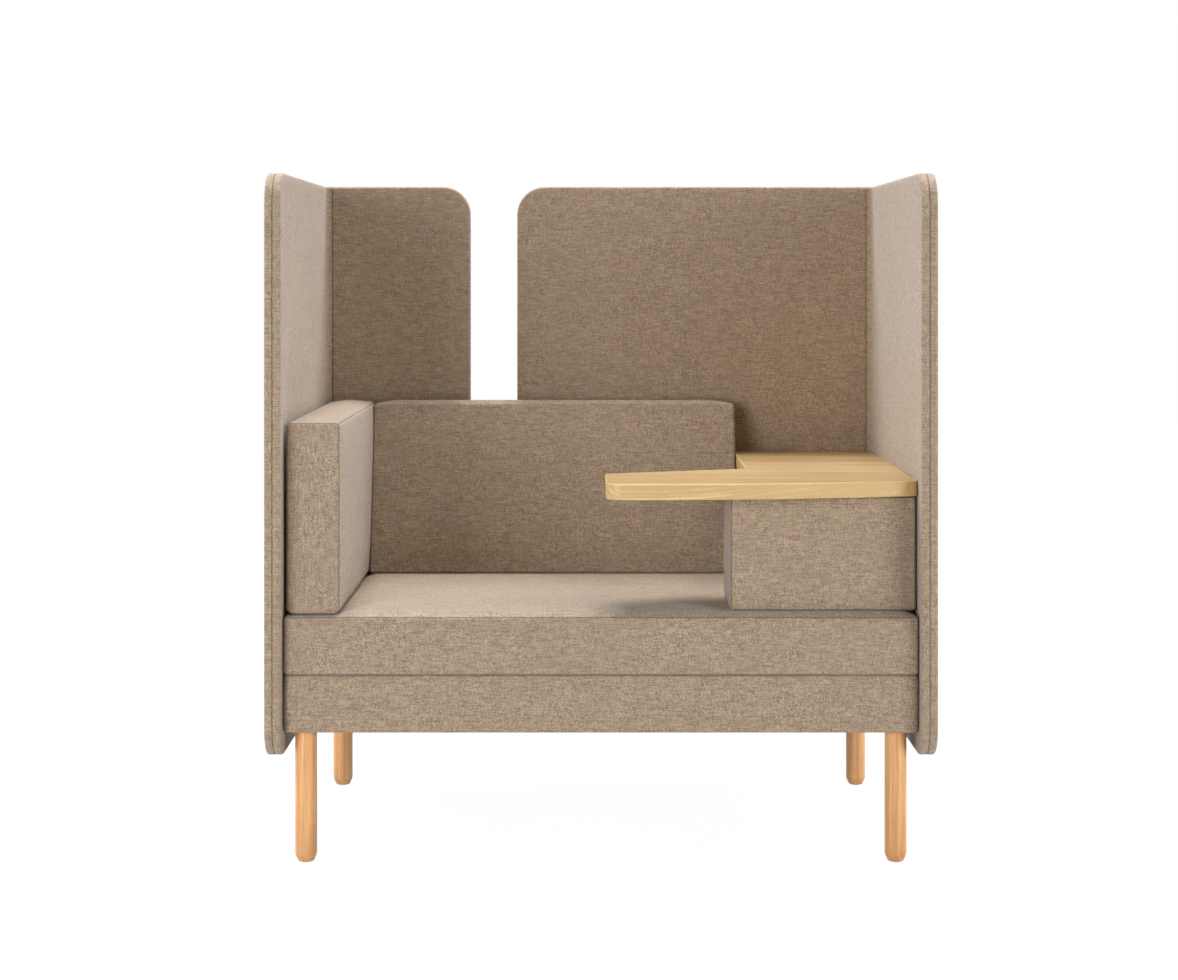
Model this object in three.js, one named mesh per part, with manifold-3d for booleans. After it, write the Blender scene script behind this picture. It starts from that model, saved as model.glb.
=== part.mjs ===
// Acoustic high back lounge chair: a seat for one between two bent upholstered screens, with a
// corner table. Millimetres, +Z up. The seated person faces -Y.
// Inside the chair group, y is measured backwards from the front edges of the screens.

import * as THREE from 'three';
import { mergeVertices } from 'three/addons/utils/BufferGeometryUtils.js';
import Module from 'manifold-3d';

const wasm = await Module();
wasm.setup();

// Overall sizes
const overallWidth = 1252;
const overallHeight = 1295;
const screenDepth = 737;
const tableReach = 35; // the table's tip stands this far ahead of the screens

// Clearances shared by all pieces
const fit = 0.3; // between pieces that rest on or against each other
const boreFit = 0.3; // around a shaft in its bore
const overrun = 5; // how far a cutting solid runs past what it cuts

// Screens
const panelThickness = 31;
const panelBottom = 202;
const panelCornerRadius = 60;
const panelEdgeRound = 5;
const panelSeamDip = 1.2;
const panelCover = 2;
const panelFelt = 7;
const insideBend = 12;
const leftReturn = 344.5; // outer side of the wing to the free edge of the back
const screenSlot = 102.5; // open slot between the two backs

// Upholstered base
const baseSetback = 21; // behind the front edges of the screens
const baseBottom = 249;
const baseHeight = 107;
const baseEdge = 6;
const baseCornerRadius = insideBend + fit;
const baseBulge = 1.2;
const baseCover = 3;
const baseLip = 20;
const railThickness = 18;
const deckThickness = 12;
const cornerBlockSize = 62;
const dustSheetThickness = 1;

// Cushions: what they share
const padCover = 4; // fabric with its wadding
const padBoard = 12;
const zipMargin = 45;
const zipShare = 1 / 3; // of the thickness, on each side of the zip's opening

// Seat cushion
const seatHeight = 110;
const seatEdge = 12;
const seatCornerRadius = 15;
const seatCrown = 6;
const seatCrownReach = 22;
const seatBulge = 1.5;
const seatStapleMargin = 40;

// Arm cushion, on the left
const armGap = 3; // open joint between it and the left wing
const armWidth = 102;
const armSetback = 34;
const armTop = 826;
const armEdge = 9;
const armCornerRadius = 11;
const armCrown = 1.5;
const armCrownReach = 110;
const armBulge = 1.2;
const armTopCrown = 5;

// Back cushion
const backLowDepth = 154;
const backHighDepth = 52;
const backNiche = 304; // between its right side and the right screen
const backTop = 823;
const backEdge = 9;
const backCornerRadius = 9;
const backCrown = 6;
const backCrownReach = 120;
const backBulge = 1.2;
const backTopCrown = 7;

// Upholstered block under the table, on the right
const blockWidth = 354;
const blockSetback = 48;
const blockDepth = 204;
const blockEdge = 10;
const blockCornerRadius = 10;
const blockBulge = 2;
const blockBoard = 12;

// Table
const tableTop = 718;
const tableThickness = 29;
const tableLength = 586; // from the right screen to the tip
const tableTipBack = 182; // rear left corner, behind the front edges of the screens
const tableArmBack = 292; // where the rear edge of its arm meets the notch
const tableNotchLap = 2; // the notch's side crosses the line of the back cushion's side by this
const tableRightSetback = 40;
const tableTipRadius = 30;
const tableRearTipRadius = 8;
const tableNotchRadius = 6;
const tableRightRadius = 15;
const tableRearRadius = insideBend + fit;
const tableArris = 2;
const plateWidth = 220;
const plateDepth = 120;
const bracketLeg = 40;
const bracketLength = 130;
const bracketThickness = 3;
const bracketBend = 3;

// Legs
const legDiameter = 41;
const legSideInset = 40; // axis, from the inner face of a wing
const legRearInset = 34; // axis, from the inner face of a back
const legFront = 62; // axis, behind the front edges of the screens
const footFlat = 22;
const footBevel = 12;
const glideHeight = 2.5;
const glideDiameter = 20;
const glideEase = 0.8;
const glidePin = 4;
const glidePinLength = 12;
const insertDiameter = 12;
const insertLength = 28;
const insertFlange = 17;
const insertFlangeHeight = 1.5;
const studDiameter = 8;
const studInLeg = 48;
const studInBlock = 34;
const studChamfer = 1;

// Bolts that hold the screens to the base frame
const boltDiameter = 8;
const boltHead = 16;
const boltHeadHeight = 5;
const boltHeight = 300;
const boltBite = 8; // depth in the core of the screen
const wingBoltFront = 190; // behind the front edges of the screens
const wingBoltRearInset = 146; // from the inner face of a back
const backBoltInset = 160; // from the inner face of a wing

// Sides of one circle
const roundSides = 24;
const boreSides = 12;
const cornerSteps = 4;
const panelCornerSteps = 6;
const bendSteps = 6;

// Shares of a height or of a reach, from the border to the middle
const crownShares = [0.3, 0.65, 1];
const borderShares = [0, 0.25, 0.5, 0.75, 1];
const flatShare = 0.1;
const leastCornerShare = 0.35;
const quarter = Math.PI / 2;
const bevelShare = 1 - Math.SQRT1_2;

// Places worked out from the sizes above
const panelHalf = panelThickness / 2;
const innerHalfWidth = overallWidth / 2 - panelThickness;
const innerDepth = screenDepth - panelThickness;
const baseTop = baseBottom + baseHeight;
const seatBottom = baseTop + fit;
const seatBorderTop = seatBottom + seatHeight;
const seatTop = seatBorderTop + seatCrown;
const armBottom = seatBorderTop + fit + armBulge;
const pillowBottom = seatTop + fit + backBulge;
const blockBottom = seatTop + fit;
const tableBottom = tableTop - tableThickness;
const blockTop = tableBottom - fit;
const armOuter = -innerHalfWidth + armGap + armBulge;
const armInner = armOuter + armWidth;
const backLeft = armInner + armCrown + fit + backBulge;
const backRight = innerHalfWidth - backNiche;
const tableTip = innerHalfWidth - tableLength;
const wingBolts = [wingBoltFront, innerDepth - wingBoltRearInset];
const backBolts = [-1, 1].map((side) => side * (innerHalfWidth - backBoltInset));
const boltReach = panelCover + panelFelt + 2 * fit + boltBite;

const materials = {
  fabric: new THREE.MeshStandardMaterial({ color: 0xae9b80, roughness: 0.92, metalness: 0 }),
  fabricInner: new THREE.MeshStandardMaterial({ color: 0xb8a68c, roughness: 0.92, metalness: 0 }),
  foam: new THREE.MeshStandardMaterial({ color: 0xe7dfc4, roughness: 0.95, metalness: 0 }),
  felt: new THREE.MeshStandardMaterial({ color: 0x8c8a86, roughness: 0.97, metalness: 0 }),
  plywood: new THREE.MeshStandardMaterial({ color: 0xcdb088, roughness: 0.7, metalness: 0 }),
  softwood: new THREE.MeshStandardMaterial({ color: 0xd9bd8e, roughness: 0.75, metalness: 0 }),
  oak: new THREE.MeshStandardMaterial({ color: 0xdcbb82, roughness: 0.5, metalness: 0 }),
  beech: new THREE.MeshStandardMaterial({ color: 0xe3ad73, roughness: 0.45, metalness: 0 }),
  steel: new THREE.MeshStandardMaterial({ color: 0x8f9398, roughness: 0.4, metalness: 0.9 }),
  darkSteel: new THREE.MeshStandardMaterial({ color: 0x3c3d40, roughness: 0.5, metalness: 0.7 }),
  glide: new THREE.MeshStandardMaterial({ color: 0x4a4038, roughness: 0.6, metalness: 0 }),
  dustSheet: new THREE.MeshStandardMaterial({ color: 0x2b2a29, roughness: 0.95, metalness: 0 }),
};

// Meshes, solids and cuts

function piece(name, geometry, material) {
  const mesh = new THREE.Mesh(geometry, material);
  mesh.name = name;
  return mesh;
}

function toSolid(geometry) {
  const bare = geometry.clone();
  bare.deleteAttribute('normal');
  bare.deleteAttribute('uv');
  const merged = mergeVertices(bare);
  const vertProperties = new Float32Array(merged.attributes.position.array);
  const triVerts = new Uint32Array(merged.index.array);
  return new wasm.Manifold(new wasm.Mesh({ numProp: 3, vertProperties, triVerts }));
}

function toGeometry(solid) {
  const { vertProperties, triVerts } = solid.getMesh();
  const geometry = new THREE.BufferGeometry();
  geometry.setAttribute('position', new THREE.BufferAttribute(vertProperties, 3));
  geometry.setIndex(new THREE.BufferAttribute(triVerts, 1));
  geometry.computeVertexNormals();
  return geometry;
}

function cut(geometry, cutters) {
  const solid = cutters.reduce((rest, cutter) => rest.subtract(toSolid(cutter)), toSolid(geometry));
  return toGeometry(solid);
}

function common(geometry, other) {
  return toGeometry(toSolid(geometry).intersect(toSolid(other)));
}

function block(low, high) {
  const size = high.map((value, axis) => value - low[axis]);
  const middle = high.map((value, axis) => (value + low[axis]) / 2);
  return new THREE.BoxGeometry(...size).translate(...middle);
}

// A round bar from one point to another
function bar(from, to, radius, sides = boreSides) {
  const start = new THREE.Vector3(...from);
  const along = new THREE.Vector3(...to).sub(start);
  const upward = new THREE.Vector3(0, 1, 0);
  const turn = new THREE.Quaternion().setFromUnitVectors(upward, along.clone().normalize());
  const geometry = new THREE.CylinderGeometry(radius, radius, along.length(), sides);
  geometry.applyQuaternion(turn);
  return geometry.translate(...start.addScaledVector(along, 1 / 2).toArray());
}

// A revolved profile of [radius, height] pairs that starts and ends on the axis, turned upright
function turned(profile, sides = roundSides) {
  const points = profile.map(([radius, height]) => new THREE.Vector2(radius, height));
  const geometry = new THREE.LatheGeometry(points, sides);
  return geometry.rotateX(quarter);
}

function signedVolume(positions, triangles) {
  const corner = (index) => new THREE.Vector3().fromArray(positions, index * 3);
  let total = 0;
  for (let at = 0; at < triangles.length; at += 3) {
    const [a, b, c] = triangles.slice(at, at + 3).map(corner);
    total += a.dot(b.cross(c));
  }
  return total;
}

// A closed skin through a stack of outlines that have the same stations. The first and the last
// outline are filled by strips from the upper point of a station to its lower one.
function skin(rings, place) {
  const count = rings[0].length;
  const positions = rings.flat().flatMap(([u, v, t]) => place(u, v, t));
  const triangles = [];
  const quad = (a, b, c, d) => triangles.push(a, b, c, a, c, d);
  for (let ring = 0; ring + 1 < rings.length; ring += 1) {
    for (let at = 0; at < count; at += 1) {
      const here = ring * count + at;
      const next = ring * count + ((at + 1) % count);
      quad(here, here + count, next + count, next);
    }
  }
  const last = (rings.length - 1) * count;
  for (let upper = 0; upper + 1 < count / 2; upper += 1) {
    const lower = count - 1 - upper;
    quad(upper, upper + 1, lower - 1, lower);
    quad(last + upper + 1, last + upper, last + lower, last + lower - 1);
  }
  if (signedVolume(positions, triangles) < 0) triangles.reverse();
  const geometry = new THREE.BufferGeometry();
  geometry.setAttribute('position', new THREE.Float32BufferAttribute(positions, 3));
  geometry.setIndex(triangles);
  geometry.computeVertexNormals();
  return geometry;
}

// One outline at thickness t: a rectangle with rounded corners, drawn in by its inset. The upper
// run goes from left to right and the lower run comes back, with a point of each at every station.
function outline(plan, { inset, t, left = inset, lift = 0 }) {
  const radius = Math.max(plan.radius - inset, plan.radius * leastCornerShare);
  const steps = plan.steps ?? cornerSteps;
  const high = plan.height - inset + lift;
  const upper = [];
  const lower = [];
  const station = (u, drop) => {
    upper.push([u, high - drop, t]);
    lower.unshift([u, inset + drop, t]);
  };
  const corner = (step, end, sense) => {
    const angle = quarter * step / steps;
    station(end + sense * radius * (1 - Math.cos(angle)), radius * (1 - Math.sin(angle)));
  };
  for (let step = 0; step <= steps; step += 1) corner(step, left, 1);
  for (const u of plan.between ?? []) station(u, 0);
  for (let step = steps; step >= 0; step -= 1) corner(step, plan.width - inset, -1);
  return [...upper, ...lower];
}

function solidOf(plan, rings, place) {
  return skin(rings.map((ring) => outline(plan, ring)), place);
}

// Cushions

// Rings of a crowned cushion from its flat face at t = 0 to its crowned one. Its borders swell
// between the two seams and, at their upper side, rise by topCrown.
function cushionRings(form) {
  const { thickness, edge, bulge, topCrown = 0 } = form;
  const bevel = edge * bevelShare;
  const borders = borderShares.map((share) => {
    const swell = 4 * share * (1 - share);
    const t = edge + share * (thickness - 2 * edge);
    return { inset: -bulge * swell, t, lift: topCrown * swell };
  });
  return [
    { inset: edge, t: 0 },
    { inset: bevel, t: bevel },
    ...borders,
    { inset: bevel, t: thickness - bevel },
    { inset: edge, t: thickness },
    ...(form.crown ? crownRings(form, edge, 0) : []),
  ];
}

// The crown over the face at t = thickness. A form with a press stays flat over that width at its
// left, where another cushion stands on it.
function crownRings({ thickness, crown, reach, press = 0 }, start, depth) {
  const face = thickness - depth;
  const flat = start + reach * flatShare;
  const pressed = press ? [{ inset: flat, left: press + start, t: face }] : [];
  const risen = crownShares.map((share) => {
    const inset = start + reach * share;
    return { inset, left: press + inset, t: face + crown * (1 - (1 - share) ** 2) };
  });
  return [...pressed, ...risen];
}

// What fits inside a cushion's cover: straight sides at a depth below the seams, under the crown
function fillingRings(form, depth, from) {
  return [
    { inset: depth, t: from },
    { inset: depth, t: form.thickness - depth },
    ...crownRings(form, form.edge, depth),
  ];
}

function boardRings(depth, from, thickness) {
  return [
    { inset: depth, t: from },
    { inset: depth, t: from + thickness },
  ];
}

// The cover, the board at its flat face and the foam under its crown, with the cover open where the
// opening solid cuts it
function cushionPieces(name, plan, form, place, opening) {
  const inside = padCover + fit;
  const cavity = solidOf(plan, fillingRings(form, padCover, padCover), place);
  const cover = cut(solidOf(plan, cushionRings(form), place), [cavity, opening]);
  const board = solidOf(plan, boardRings(inside, inside, padBoard), place);
  const foam = solidOf(plan, fillingRings(form, inside, inside + padBoard + fit), place);
  return [
    piece(`${name}_cover`, cover, materials.fabric),
    piece(`${name}_board`, board, materials.plywood),
    piece(`${name}_foam`, foam, materials.foam),
  ];
}

function seatCushion() {
  const group = new THREE.Group();
  const halfWidth = innerHalfWidth - fit - seatBulge;
  const front = baseSetback + seatBulge;
  const depth = innerDepth - fit - seatBulge - front;
  const plan = { width: 2 * halfWidth, height: depth, radius: seatCornerRadius };
  const form = {
    thickness: seatHeight,
    edge: seatEdge,
    bulge: seatBulge,
    crown: seatCrown,
    reach: seatCrownReach,
    press: armGap + armWidth,
  };
  const place = (u, v, t) => [u - halfWidth, front + v, seatBottom + t];
  const opening = block(
    [-halfWidth + seatStapleMargin, front + seatStapleMargin, seatBottom - overrun],
    [halfWidth - seatStapleMargin, front + depth - seatStapleMargin, seatBottom + padCover + overrun],
  );
  group.add(...cushionPieces('seat', plan, form, place, opening));
  return group;
}

function armCushion() {
  const group = new THREE.Group();
  const front = armSetback + armBulge;
  const depth = innerDepth - fit - armBulge - front;
  const plan = { width: depth, height: armTop - armBottom, radius: armCornerRadius };
  const form = {
    thickness: armWidth,
    edge: armEdge,
    bulge: armBulge,
    crown: armCrown,
    reach: armCrownReach,
    topCrown: armTopCrown,
  };
  const place = (u, v, t) => [armOuter + t, front + u, armBottom + v];
  const opening = block(
    [armOuter + armWidth * zipShare, front + zipMargin, armBottom - overrun],
    [armInner - armWidth * zipShare, front + depth - zipMargin, armBottom + padCover + overrun],
  );
  group.add(...cushionPieces('arm', plan, form, place, opening));
  return group;
}

// The back cushion leans: its rear face is upright against the screens and its front face slopes
function backCushion() {
  const group = new THREE.Group();
  const height = backTop - pillowBottom;
  const rear = innerDepth - fit;
  const plan = { width: backRight - backLeft, height, radius: backCornerRadius };
  const form = {
    thickness: backLowDepth,
    edge: backEdge,
    bulge: backBulge,
    crown: backCrown,
    reach: backCrownReach,
    topCrown: backTopCrown,
  };
  const lean = (v) => (backLowDepth - backHighDepth) * THREE.MathUtils.clamp(v / height, 0, 1);
  const place = (u, v, t) => {
    const share = THREE.MathUtils.clamp(t / backLowDepth, 0, 1);
    return [backLeft + u, rear - t + lean(v) * share, pillowBottom + v];
  };
  const opening = block(
    [backLeft + zipMargin, rear - backLowDepth * (1 - zipShare), pillowBottom - overrun],
    [backRight - zipMargin, rear - backLowDepth * zipShare, pillowBottom + padCover + overrun],
  );
  group.add(...cushionPieces('back', plan, form, place, opening));
  return group;
}

// Screens

const bendMiddle = insideBend + panelHalf;
const wingRun = screenDepth - panelHalf - bendMiddle;
const bendRun = bendMiddle * quarter;
const bendCentre = overallWidth / 2 - panelHalf - bendMiddle;

// Wraps a flat panel round its corner: s runs along the middle plane from the front edge of the
// wing to the free edge of the back, and t is positive towards the seat.
function bentPlace(side) {
  return (s, v, t) => {
    const z = panelBottom + v;
    if (s <= wingRun) return [side * (bendCentre + bendMiddle - t), s, z];
    const angle = (s - wingRun) / bendMiddle;
    const radius = bendMiddle - t;
    if (angle < quarter) {
      return [side * (bendCentre + radius * Math.cos(angle)), wingRun + radius * Math.sin(angle), z];
    }
    return [side * (bendCentre - (s - wingRun - bendRun)), wingRun + radius, z];
  };
}

function screenPlan(returnLength) {
  const backRun = returnLength - (overallWidth / 2 - bendCentre);
  const between = [];
  for (let step = 0; step <= bendSteps; step += 1) between.push(wingRun + bendRun * step / bendSteps);
  return {
    width: wingRun + bendRun + backRun,
    height: overallHeight - panelBottom,
    radius: panelCornerRadius,
    steps: panelCornerSteps,
    between,
  };
}

// One half of the sewn cover: a tray whose rim is the seam along the middle of the panel's edge
function screenCoverRings(face) {
  const bevel = panelEdgeRound * bevelShare;
  const rings = [
    { inset: panelEdgeRound, t: panelHalf },
    { inset: bevel, t: panelHalf - bevel },
    { inset: 0, t: panelHalf - panelEdgeRound },
    { inset: 0, t: panelEdgeRound / 2 },
    { inset: panelSeamDip, t: fit / 2 },
    { inset: panelSeamDip + panelCover, t: fit / 2 },
    { inset: panelSeamDip + panelCover, t: panelHalf - panelCover },
  ];
  return rings.map((ring) => ({ ...ring, t: face * ring.t }));
}

function screenSlabRings(depth, from, to) {
  return [
    { inset: depth, t: from },
    { inset: depth, t: to },
  ];
}

function screenBoltBores(side, reach) {
  const radius = boltDiameter / 2 + boreFit;
  const wall = side * innerHalfWidth;
  const wing = wingBolts.map((y) => {
    return bar([wall - side * reach, y, boltHeight], [wall + side * boltReach, y, boltHeight], radius);
  });
  const back = backBolts.filter((x) => x * side > 0).map((x) => {
    return bar([x, innerDepth - reach, boltHeight], [x, innerDepth + boltReach, boltHeight], radius);
  });
  return [...wing, ...back];
}

function screen(name, side, returnLength) {
  const group = new THREE.Group();
  const plan = screenPlan(returnLength);
  const place = bentPlace(side);
  const inside = panelSeamDip + panelCover + fit;
  const feltOuter = panelHalf - panelCover - fit;
  const feltInner = feltOuter - panelFelt;
  const coreHalf = feltInner - fit;
  const bores = screenBoltBores(side, overrun);
  const innerCover = cut(solidOf(plan, screenCoverRings(1), place), bores);
  const innerFelt = cut(solidOf(plan, screenSlabRings(inside, feltInner, feltOuter), place), bores);
  const core = cut(solidOf(plan, screenSlabRings(inside, -coreHalf, coreHalf), place), bores);
  const outerFelt = solidOf(plan, screenSlabRings(inside, -feltOuter, -feltInner), place);
  const outerCover = solidOf(plan, screenCoverRings(-1), place);
  group.add(
    piece(`${name}_screen_inner_cover`, innerCover, materials.fabricInner),
    piece(`${name}_screen_inner_felt`, innerFelt, materials.felt),
    piece(`${name}_screen_core`, core, materials.plywood),
    piece(`${name}_screen_outer_felt`, outerFelt, materials.felt),
    piece(`${name}_screen_outer_cover`, outerCover, materials.fabric),
  );
  return group;
}

function screenBolt(name, head, along) {
  const length = railThickness + baseCover + baseBulge + 2 * fit + boltReach;
  const shank = boltDiameter / 2;
  const profile = [
    [0, -boltHeadHeight],
    [boltHead / 2, -boltHeadHeight],
    [boltHead / 2, 0],
    [shank, 0],
    [shank, length - fit],
    [0, length - fit],
  ];
  const mesh = piece(name, turned(profile, boreSides), materials.darkSteel);
  mesh.position.set(...head);
  mesh.quaternion.setFromUnitVectors(new THREE.Vector3(0, 0, 1), new THREE.Vector3(...along));
  return mesh;
}

// Base

const baseHalfWidth = innerHalfWidth - fit - baseBulge;
const baseFront = baseSetback + baseBulge;
const baseRear = innerDepth - fit - baseBulge;
const basePlan = {
  width: 2 * baseHalfWidth,
  height: baseRear - baseFront,
  radius: baseCornerRadius,
};
const frameHalfWidth = baseHalfWidth - baseCover - fit;
const frameFront = baseFront + baseCover + fit;
const frameRear = baseRear - baseCover - fit;
const railBottom = baseBottom + baseCover + fit;
const deckBottom = baseTop - baseCover - fit - deckThickness;
const railTop = deckBottom - fit;

function basePlace(u, v, t) {
  return [u - baseHalfWidth, baseFront + v, baseBottom + t];
}

// An upright block inside the outline of the base, between two heights
function baseSolid(inset, low, high) {
  return solidOf(basePlan, boardRings(inset, low - baseBottom, high - low), basePlace);
}

function frameBores() {
  const radius = boltDiameter / 2 + boreFit;
  const reach = baseCover + railThickness + baseBulge + overrun;
  const sides = [-1, 1].flatMap((side) => wingBolts.map((y) => {
    const wall = side * innerHalfWidth;
    return bar([wall - side * reach, y, boltHeight], [wall + side * overrun, y, boltHeight], radius);
  }));
  const rear = backBolts.map((x) => {
    return bar([x, innerDepth - reach, boltHeight], [x, innerDepth + overrun, boltHeight], radius);
  });
  return [...sides, ...rear];
}

function baseFrame() {
  const group = new THREE.Group();
  const bolts = frameBores();
  const insideX = frameHalfWidth - railThickness - fit;
  const insideFront = frameFront + railThickness + fit;
  const insideRear = frameRear - railThickness - fit;
  const frameOutline = baseSolid(baseCover + fit, railBottom, railTop);
  const rail = (name, [x0, x1], [y0, y1], holes) => {
    const geometry = common(block([x0, y0, railBottom], [x1, y1, railTop]), frameOutline);
    return piece(name, cut(geometry, holes), materials.softwood);
  };
  group.add(
    rail('base_rail_left', [-frameHalfWidth, -insideX - fit], [frameFront, frameRear], bolts),
    rail('base_rail_right', [insideX + fit, frameHalfWidth], [frameFront, frameRear], bolts),
    rail('base_rail_front', [-insideX, insideX], [frameFront, insideFront - fit], []),
    rail('base_rail_rear', [-insideX, insideX], [insideRear + fit, frameRear], bolts),
    rail('base_rail_middle', [-railThickness / 2, railThickness / 2], [insideFront, insideRear], []),
  );
  for (const corner of legCorners()) {
    const [x, y] = [corner.side * insideX, corner.end > 0 ? insideRear : insideFront];
    const [xIn, yIn] = [x - corner.side * cornerBlockSize, y - corner.end * cornerBlockSize];
    const low = [Math.min(x, xIn), Math.min(y, yIn), railBottom];
    const high = [Math.max(x, xIn), Math.max(y, yIn), railTop];
    const drill = (radius, top) => {
      return bar([corner.x, corner.y, railBottom - overrun], [corner.x, corner.y, top], radius);
    };
    const bores = [
      drill(insertFlange / 2 + boreFit, railBottom + insertFlangeHeight + fit),
      drill(insertDiameter / 2 + boreFit, railBottom + insertLength + fit),
      drill(studDiameter / 2 + boreFit, legTop + studInBlock + fit),
    ];
    group.add(piece(`corner_block_${corner.name}`, cut(block(low, high), bores), materials.softwood));
  }
  const deck = baseSolid(baseCover + fit, deckBottom, deckBottom + deckThickness);
  group.add(piece('seat_deck', deck, materials.plywood));
  return group;
}

function baseUpholstery() {
  const group = new THREE.Group();
  const rings = cushionRings({ thickness: baseHeight, edge: baseEdge, bulge: baseBulge });
  const cavity = baseSolid(baseCover, baseBottom + baseCover, baseTop - baseCover);
  const opening = block(
    [-baseHalfWidth + baseLip, baseFront + baseLip, baseBottom - overrun],
    [baseHalfWidth - baseLip, baseRear - baseLip, baseTop + overrun],
  );
  const cover = cut(solidOf(basePlan, rings, basePlace), [cavity, opening, ...frameBores()]);
  group.add(piece('base_cover', cover, materials.fabric));
  group.add(piece('dust_sheet', dustSheet(), materials.dustSheet));
  return group;
}

// A thin sheet stapled under the rails, inside the turned-in edge of the cover
function dustSheet() {
  const halfWidth = baseHalfWidth - baseLip - fit;
  const front = baseFront + baseLip + fit;
  const rear = baseRear - baseLip - fit;
  const shape = new THREE.Shape();
  shape.moveTo(-halfWidth, front);
  shape.lineTo(halfWidth, front);
  shape.lineTo(halfWidth, rear);
  shape.lineTo(-halfWidth, rear);
  for (const corner of legCorners()) {
    const hole = new THREE.Path();
    hole.absarc(corner.x, corner.y, studDiameter / 2 + dustSheetThickness, 0, 2 * Math.PI, true);
    shape.holes.push(hole);
  }
  const options = { depth: dustSheetThickness, bevelEnabled: false, curveSegments: boreSides / 2 };
  const geometry = new THREE.ExtrudeGeometry(shape, options);
  return geometry.translate(0, 0, railBottom - fit - dustSheetThickness);
}

// Legs

const legTop = baseBottom - fit;

function legCorners() {
  return [-1, 1].flatMap((end) => [-1, 1].map((side) => ({
    name: `${end < 0 ? 'front' : 'rear'}_${side < 0 ? 'left' : 'right'}`,
    side,
    end,
    x: side * (innerHalfWidth - legSideInset),
    y: end < 0 ? legFront : innerDepth - legRearInset,
  })));
}

function legProfile() {
  const bore = studDiameter / 2 + boreFit;
  const pinBore = glidePin / 2 + boreFit;
  const pinDepth = glideHeight + fit + glidePinLength + fit;
  const bottom = glideHeight + fit;
  const bevelMiddle = (footFlat + legDiameter) / 4 + footBevel * bevelShare / 2;
  return [
    [0, pinDepth],
    [pinBore, pinDepth],
    [pinBore, bottom],
    [footFlat / 2, bottom],
    [bevelMiddle, bottom + footBevel / 3],
    [legDiameter / 2, bottom + footBevel],
    [legDiameter / 2, legTop],
    [bore, legTop],
    [bore, legTop - studInLeg - fit],
    [0, legTop - studInLeg - fit],
  ];
}

function glideProfile() {
  const top = glideHeight + glidePinLength;
  return [
    [0, 0],
    [glideDiameter / 2 - glideEase, 0],
    [glideDiameter / 2, glideEase],
    [glideDiameter / 2, glideHeight],
    [glidePin / 2, glideHeight],
    [glidePin / 2, top],
    [0, top],
  ];
}

function studProfile() {
  const radius = studDiameter / 2;
  const low = legTop - studInLeg;
  const high = legTop + studInBlock;
  return [
    [0, low],
    [radius - studChamfer, low],
    [radius, low + studChamfer],
    [radius, high - studChamfer],
    [radius - studChamfer, high],
    [0, high],
  ];
}

// A threaded insert of the corner block, without its thread, flush with the block's underside
function insertProfile() {
  const bore = studDiameter / 2 + boreFit;
  return [
    [bore, 0],
    [insertFlange / 2, 0],
    [insertFlange / 2, insertFlangeHeight],
    [insertDiameter / 2, insertFlangeHeight],
    [insertDiameter / 2, insertLength],
    [bore, insertLength],
    [bore, 0],
  ];
}

function legs() {
  const group = new THREE.Group();
  for (const corner of legCorners()) {
    const leg = new THREE.Group();
    leg.position.set(corner.x, corner.y, 0);
    const insert = piece(`leg_insert_${corner.name}`, turned(insertProfile(), boreSides), materials.steel);
    insert.position.z = railBottom;
    leg.add(
      piece(`leg_${corner.name}`, turned(legProfile()), materials.beech),
      piece(`glide_${corner.name}`, turned(glideProfile(), roundSides / 2), materials.glide),
      piece(`leg_stud_${corner.name}`, turned(studProfile(), boreSides), materials.steel),
      insert,
    );
    group.add(leg);
  }
  return group;
}

// Table and the block that carries it

function tableBlock() {
  const group = new THREE.Group();
  const right = innerHalfWidth - fit - blockBulge;
  const front = blockSetback + blockBulge;
  const left = innerHalfWidth - blockWidth + blockBulge;
  const plan = { width: right - left, height: blockDepth - 2 * blockBulge, radius: blockCornerRadius };
  const thickness = blockTop - blockBottom;
  const form = { thickness, edge: blockEdge, bulge: blockBulge };
  const place = (u, v, t) => [left + u, front + v, blockBottom + t];
  const cavity = solidOf(plan, boardRings(padCover, padCover, thickness - 2 * padCover), place);
  const middle = [(left + right) / 2, front + plan.height / 2];
  const plateHalf = [plateWidth / 2, plateDepth / 2];
  const around = (half, gap, low, high) => block(
    [middle[0] - half[0] - gap, middle[1] - half[1] - gap, low],
    [middle[0] + half[0] + gap, middle[1] + half[1] + gap, high],
  );
  const opening = around(plateHalf, fit, blockTop - padCover - overrun, blockTop + overrun);
  const cover = cut(solidOf(plan, cushionRings(form), place), [cavity, opening]);
  const inside = padCover + fit;
  const carcass = solidOf(plan, boardRings(inside, inside, thickness - 2 * inside), place);
  const hollow = solidOf(
    plan,
    boardRings(inside + blockBoard, inside - overrun, thickness - 2 * inside - blockBoard + overrun),
    place,
  );
  const plate = around(plateHalf, 0, blockTop - padCover, blockTop);
  group.add(
    piece('table_block_cover', cover, materials.fabric),
    piece('table_block_carcass', cut(carcass, [hollow]), materials.plywood),
    piece('table_plate', plate, materials.steel),
  );
  return group;
}

// A corner of the table's outline, rounded between the two edges that meet there
function roundCorner(path, previous, corner, next, radius) {
  const point = new THREE.Vector2(...corner);
  const back = new THREE.Vector2(...previous).sub(point).normalize();
  const ahead = new THREE.Vector2(...next).sub(point).normalize();
  const half = Math.acos(back.dot(ahead)) / 2;
  const length = radius / Math.tan(half);
  const start = point.clone().addScaledVector(back, length);
  const middle = back.clone().add(ahead).normalize().multiplyScalar(radius / Math.sin(half)).add(point);
  const from = start.clone().sub(middle).angle();
  const end = point.clone().addScaledVector(ahead, length).sub(middle).angle();
  path.absarc(middle.x, middle.y, radius, from, end, back.cross(ahead) > 0);
}

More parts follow.
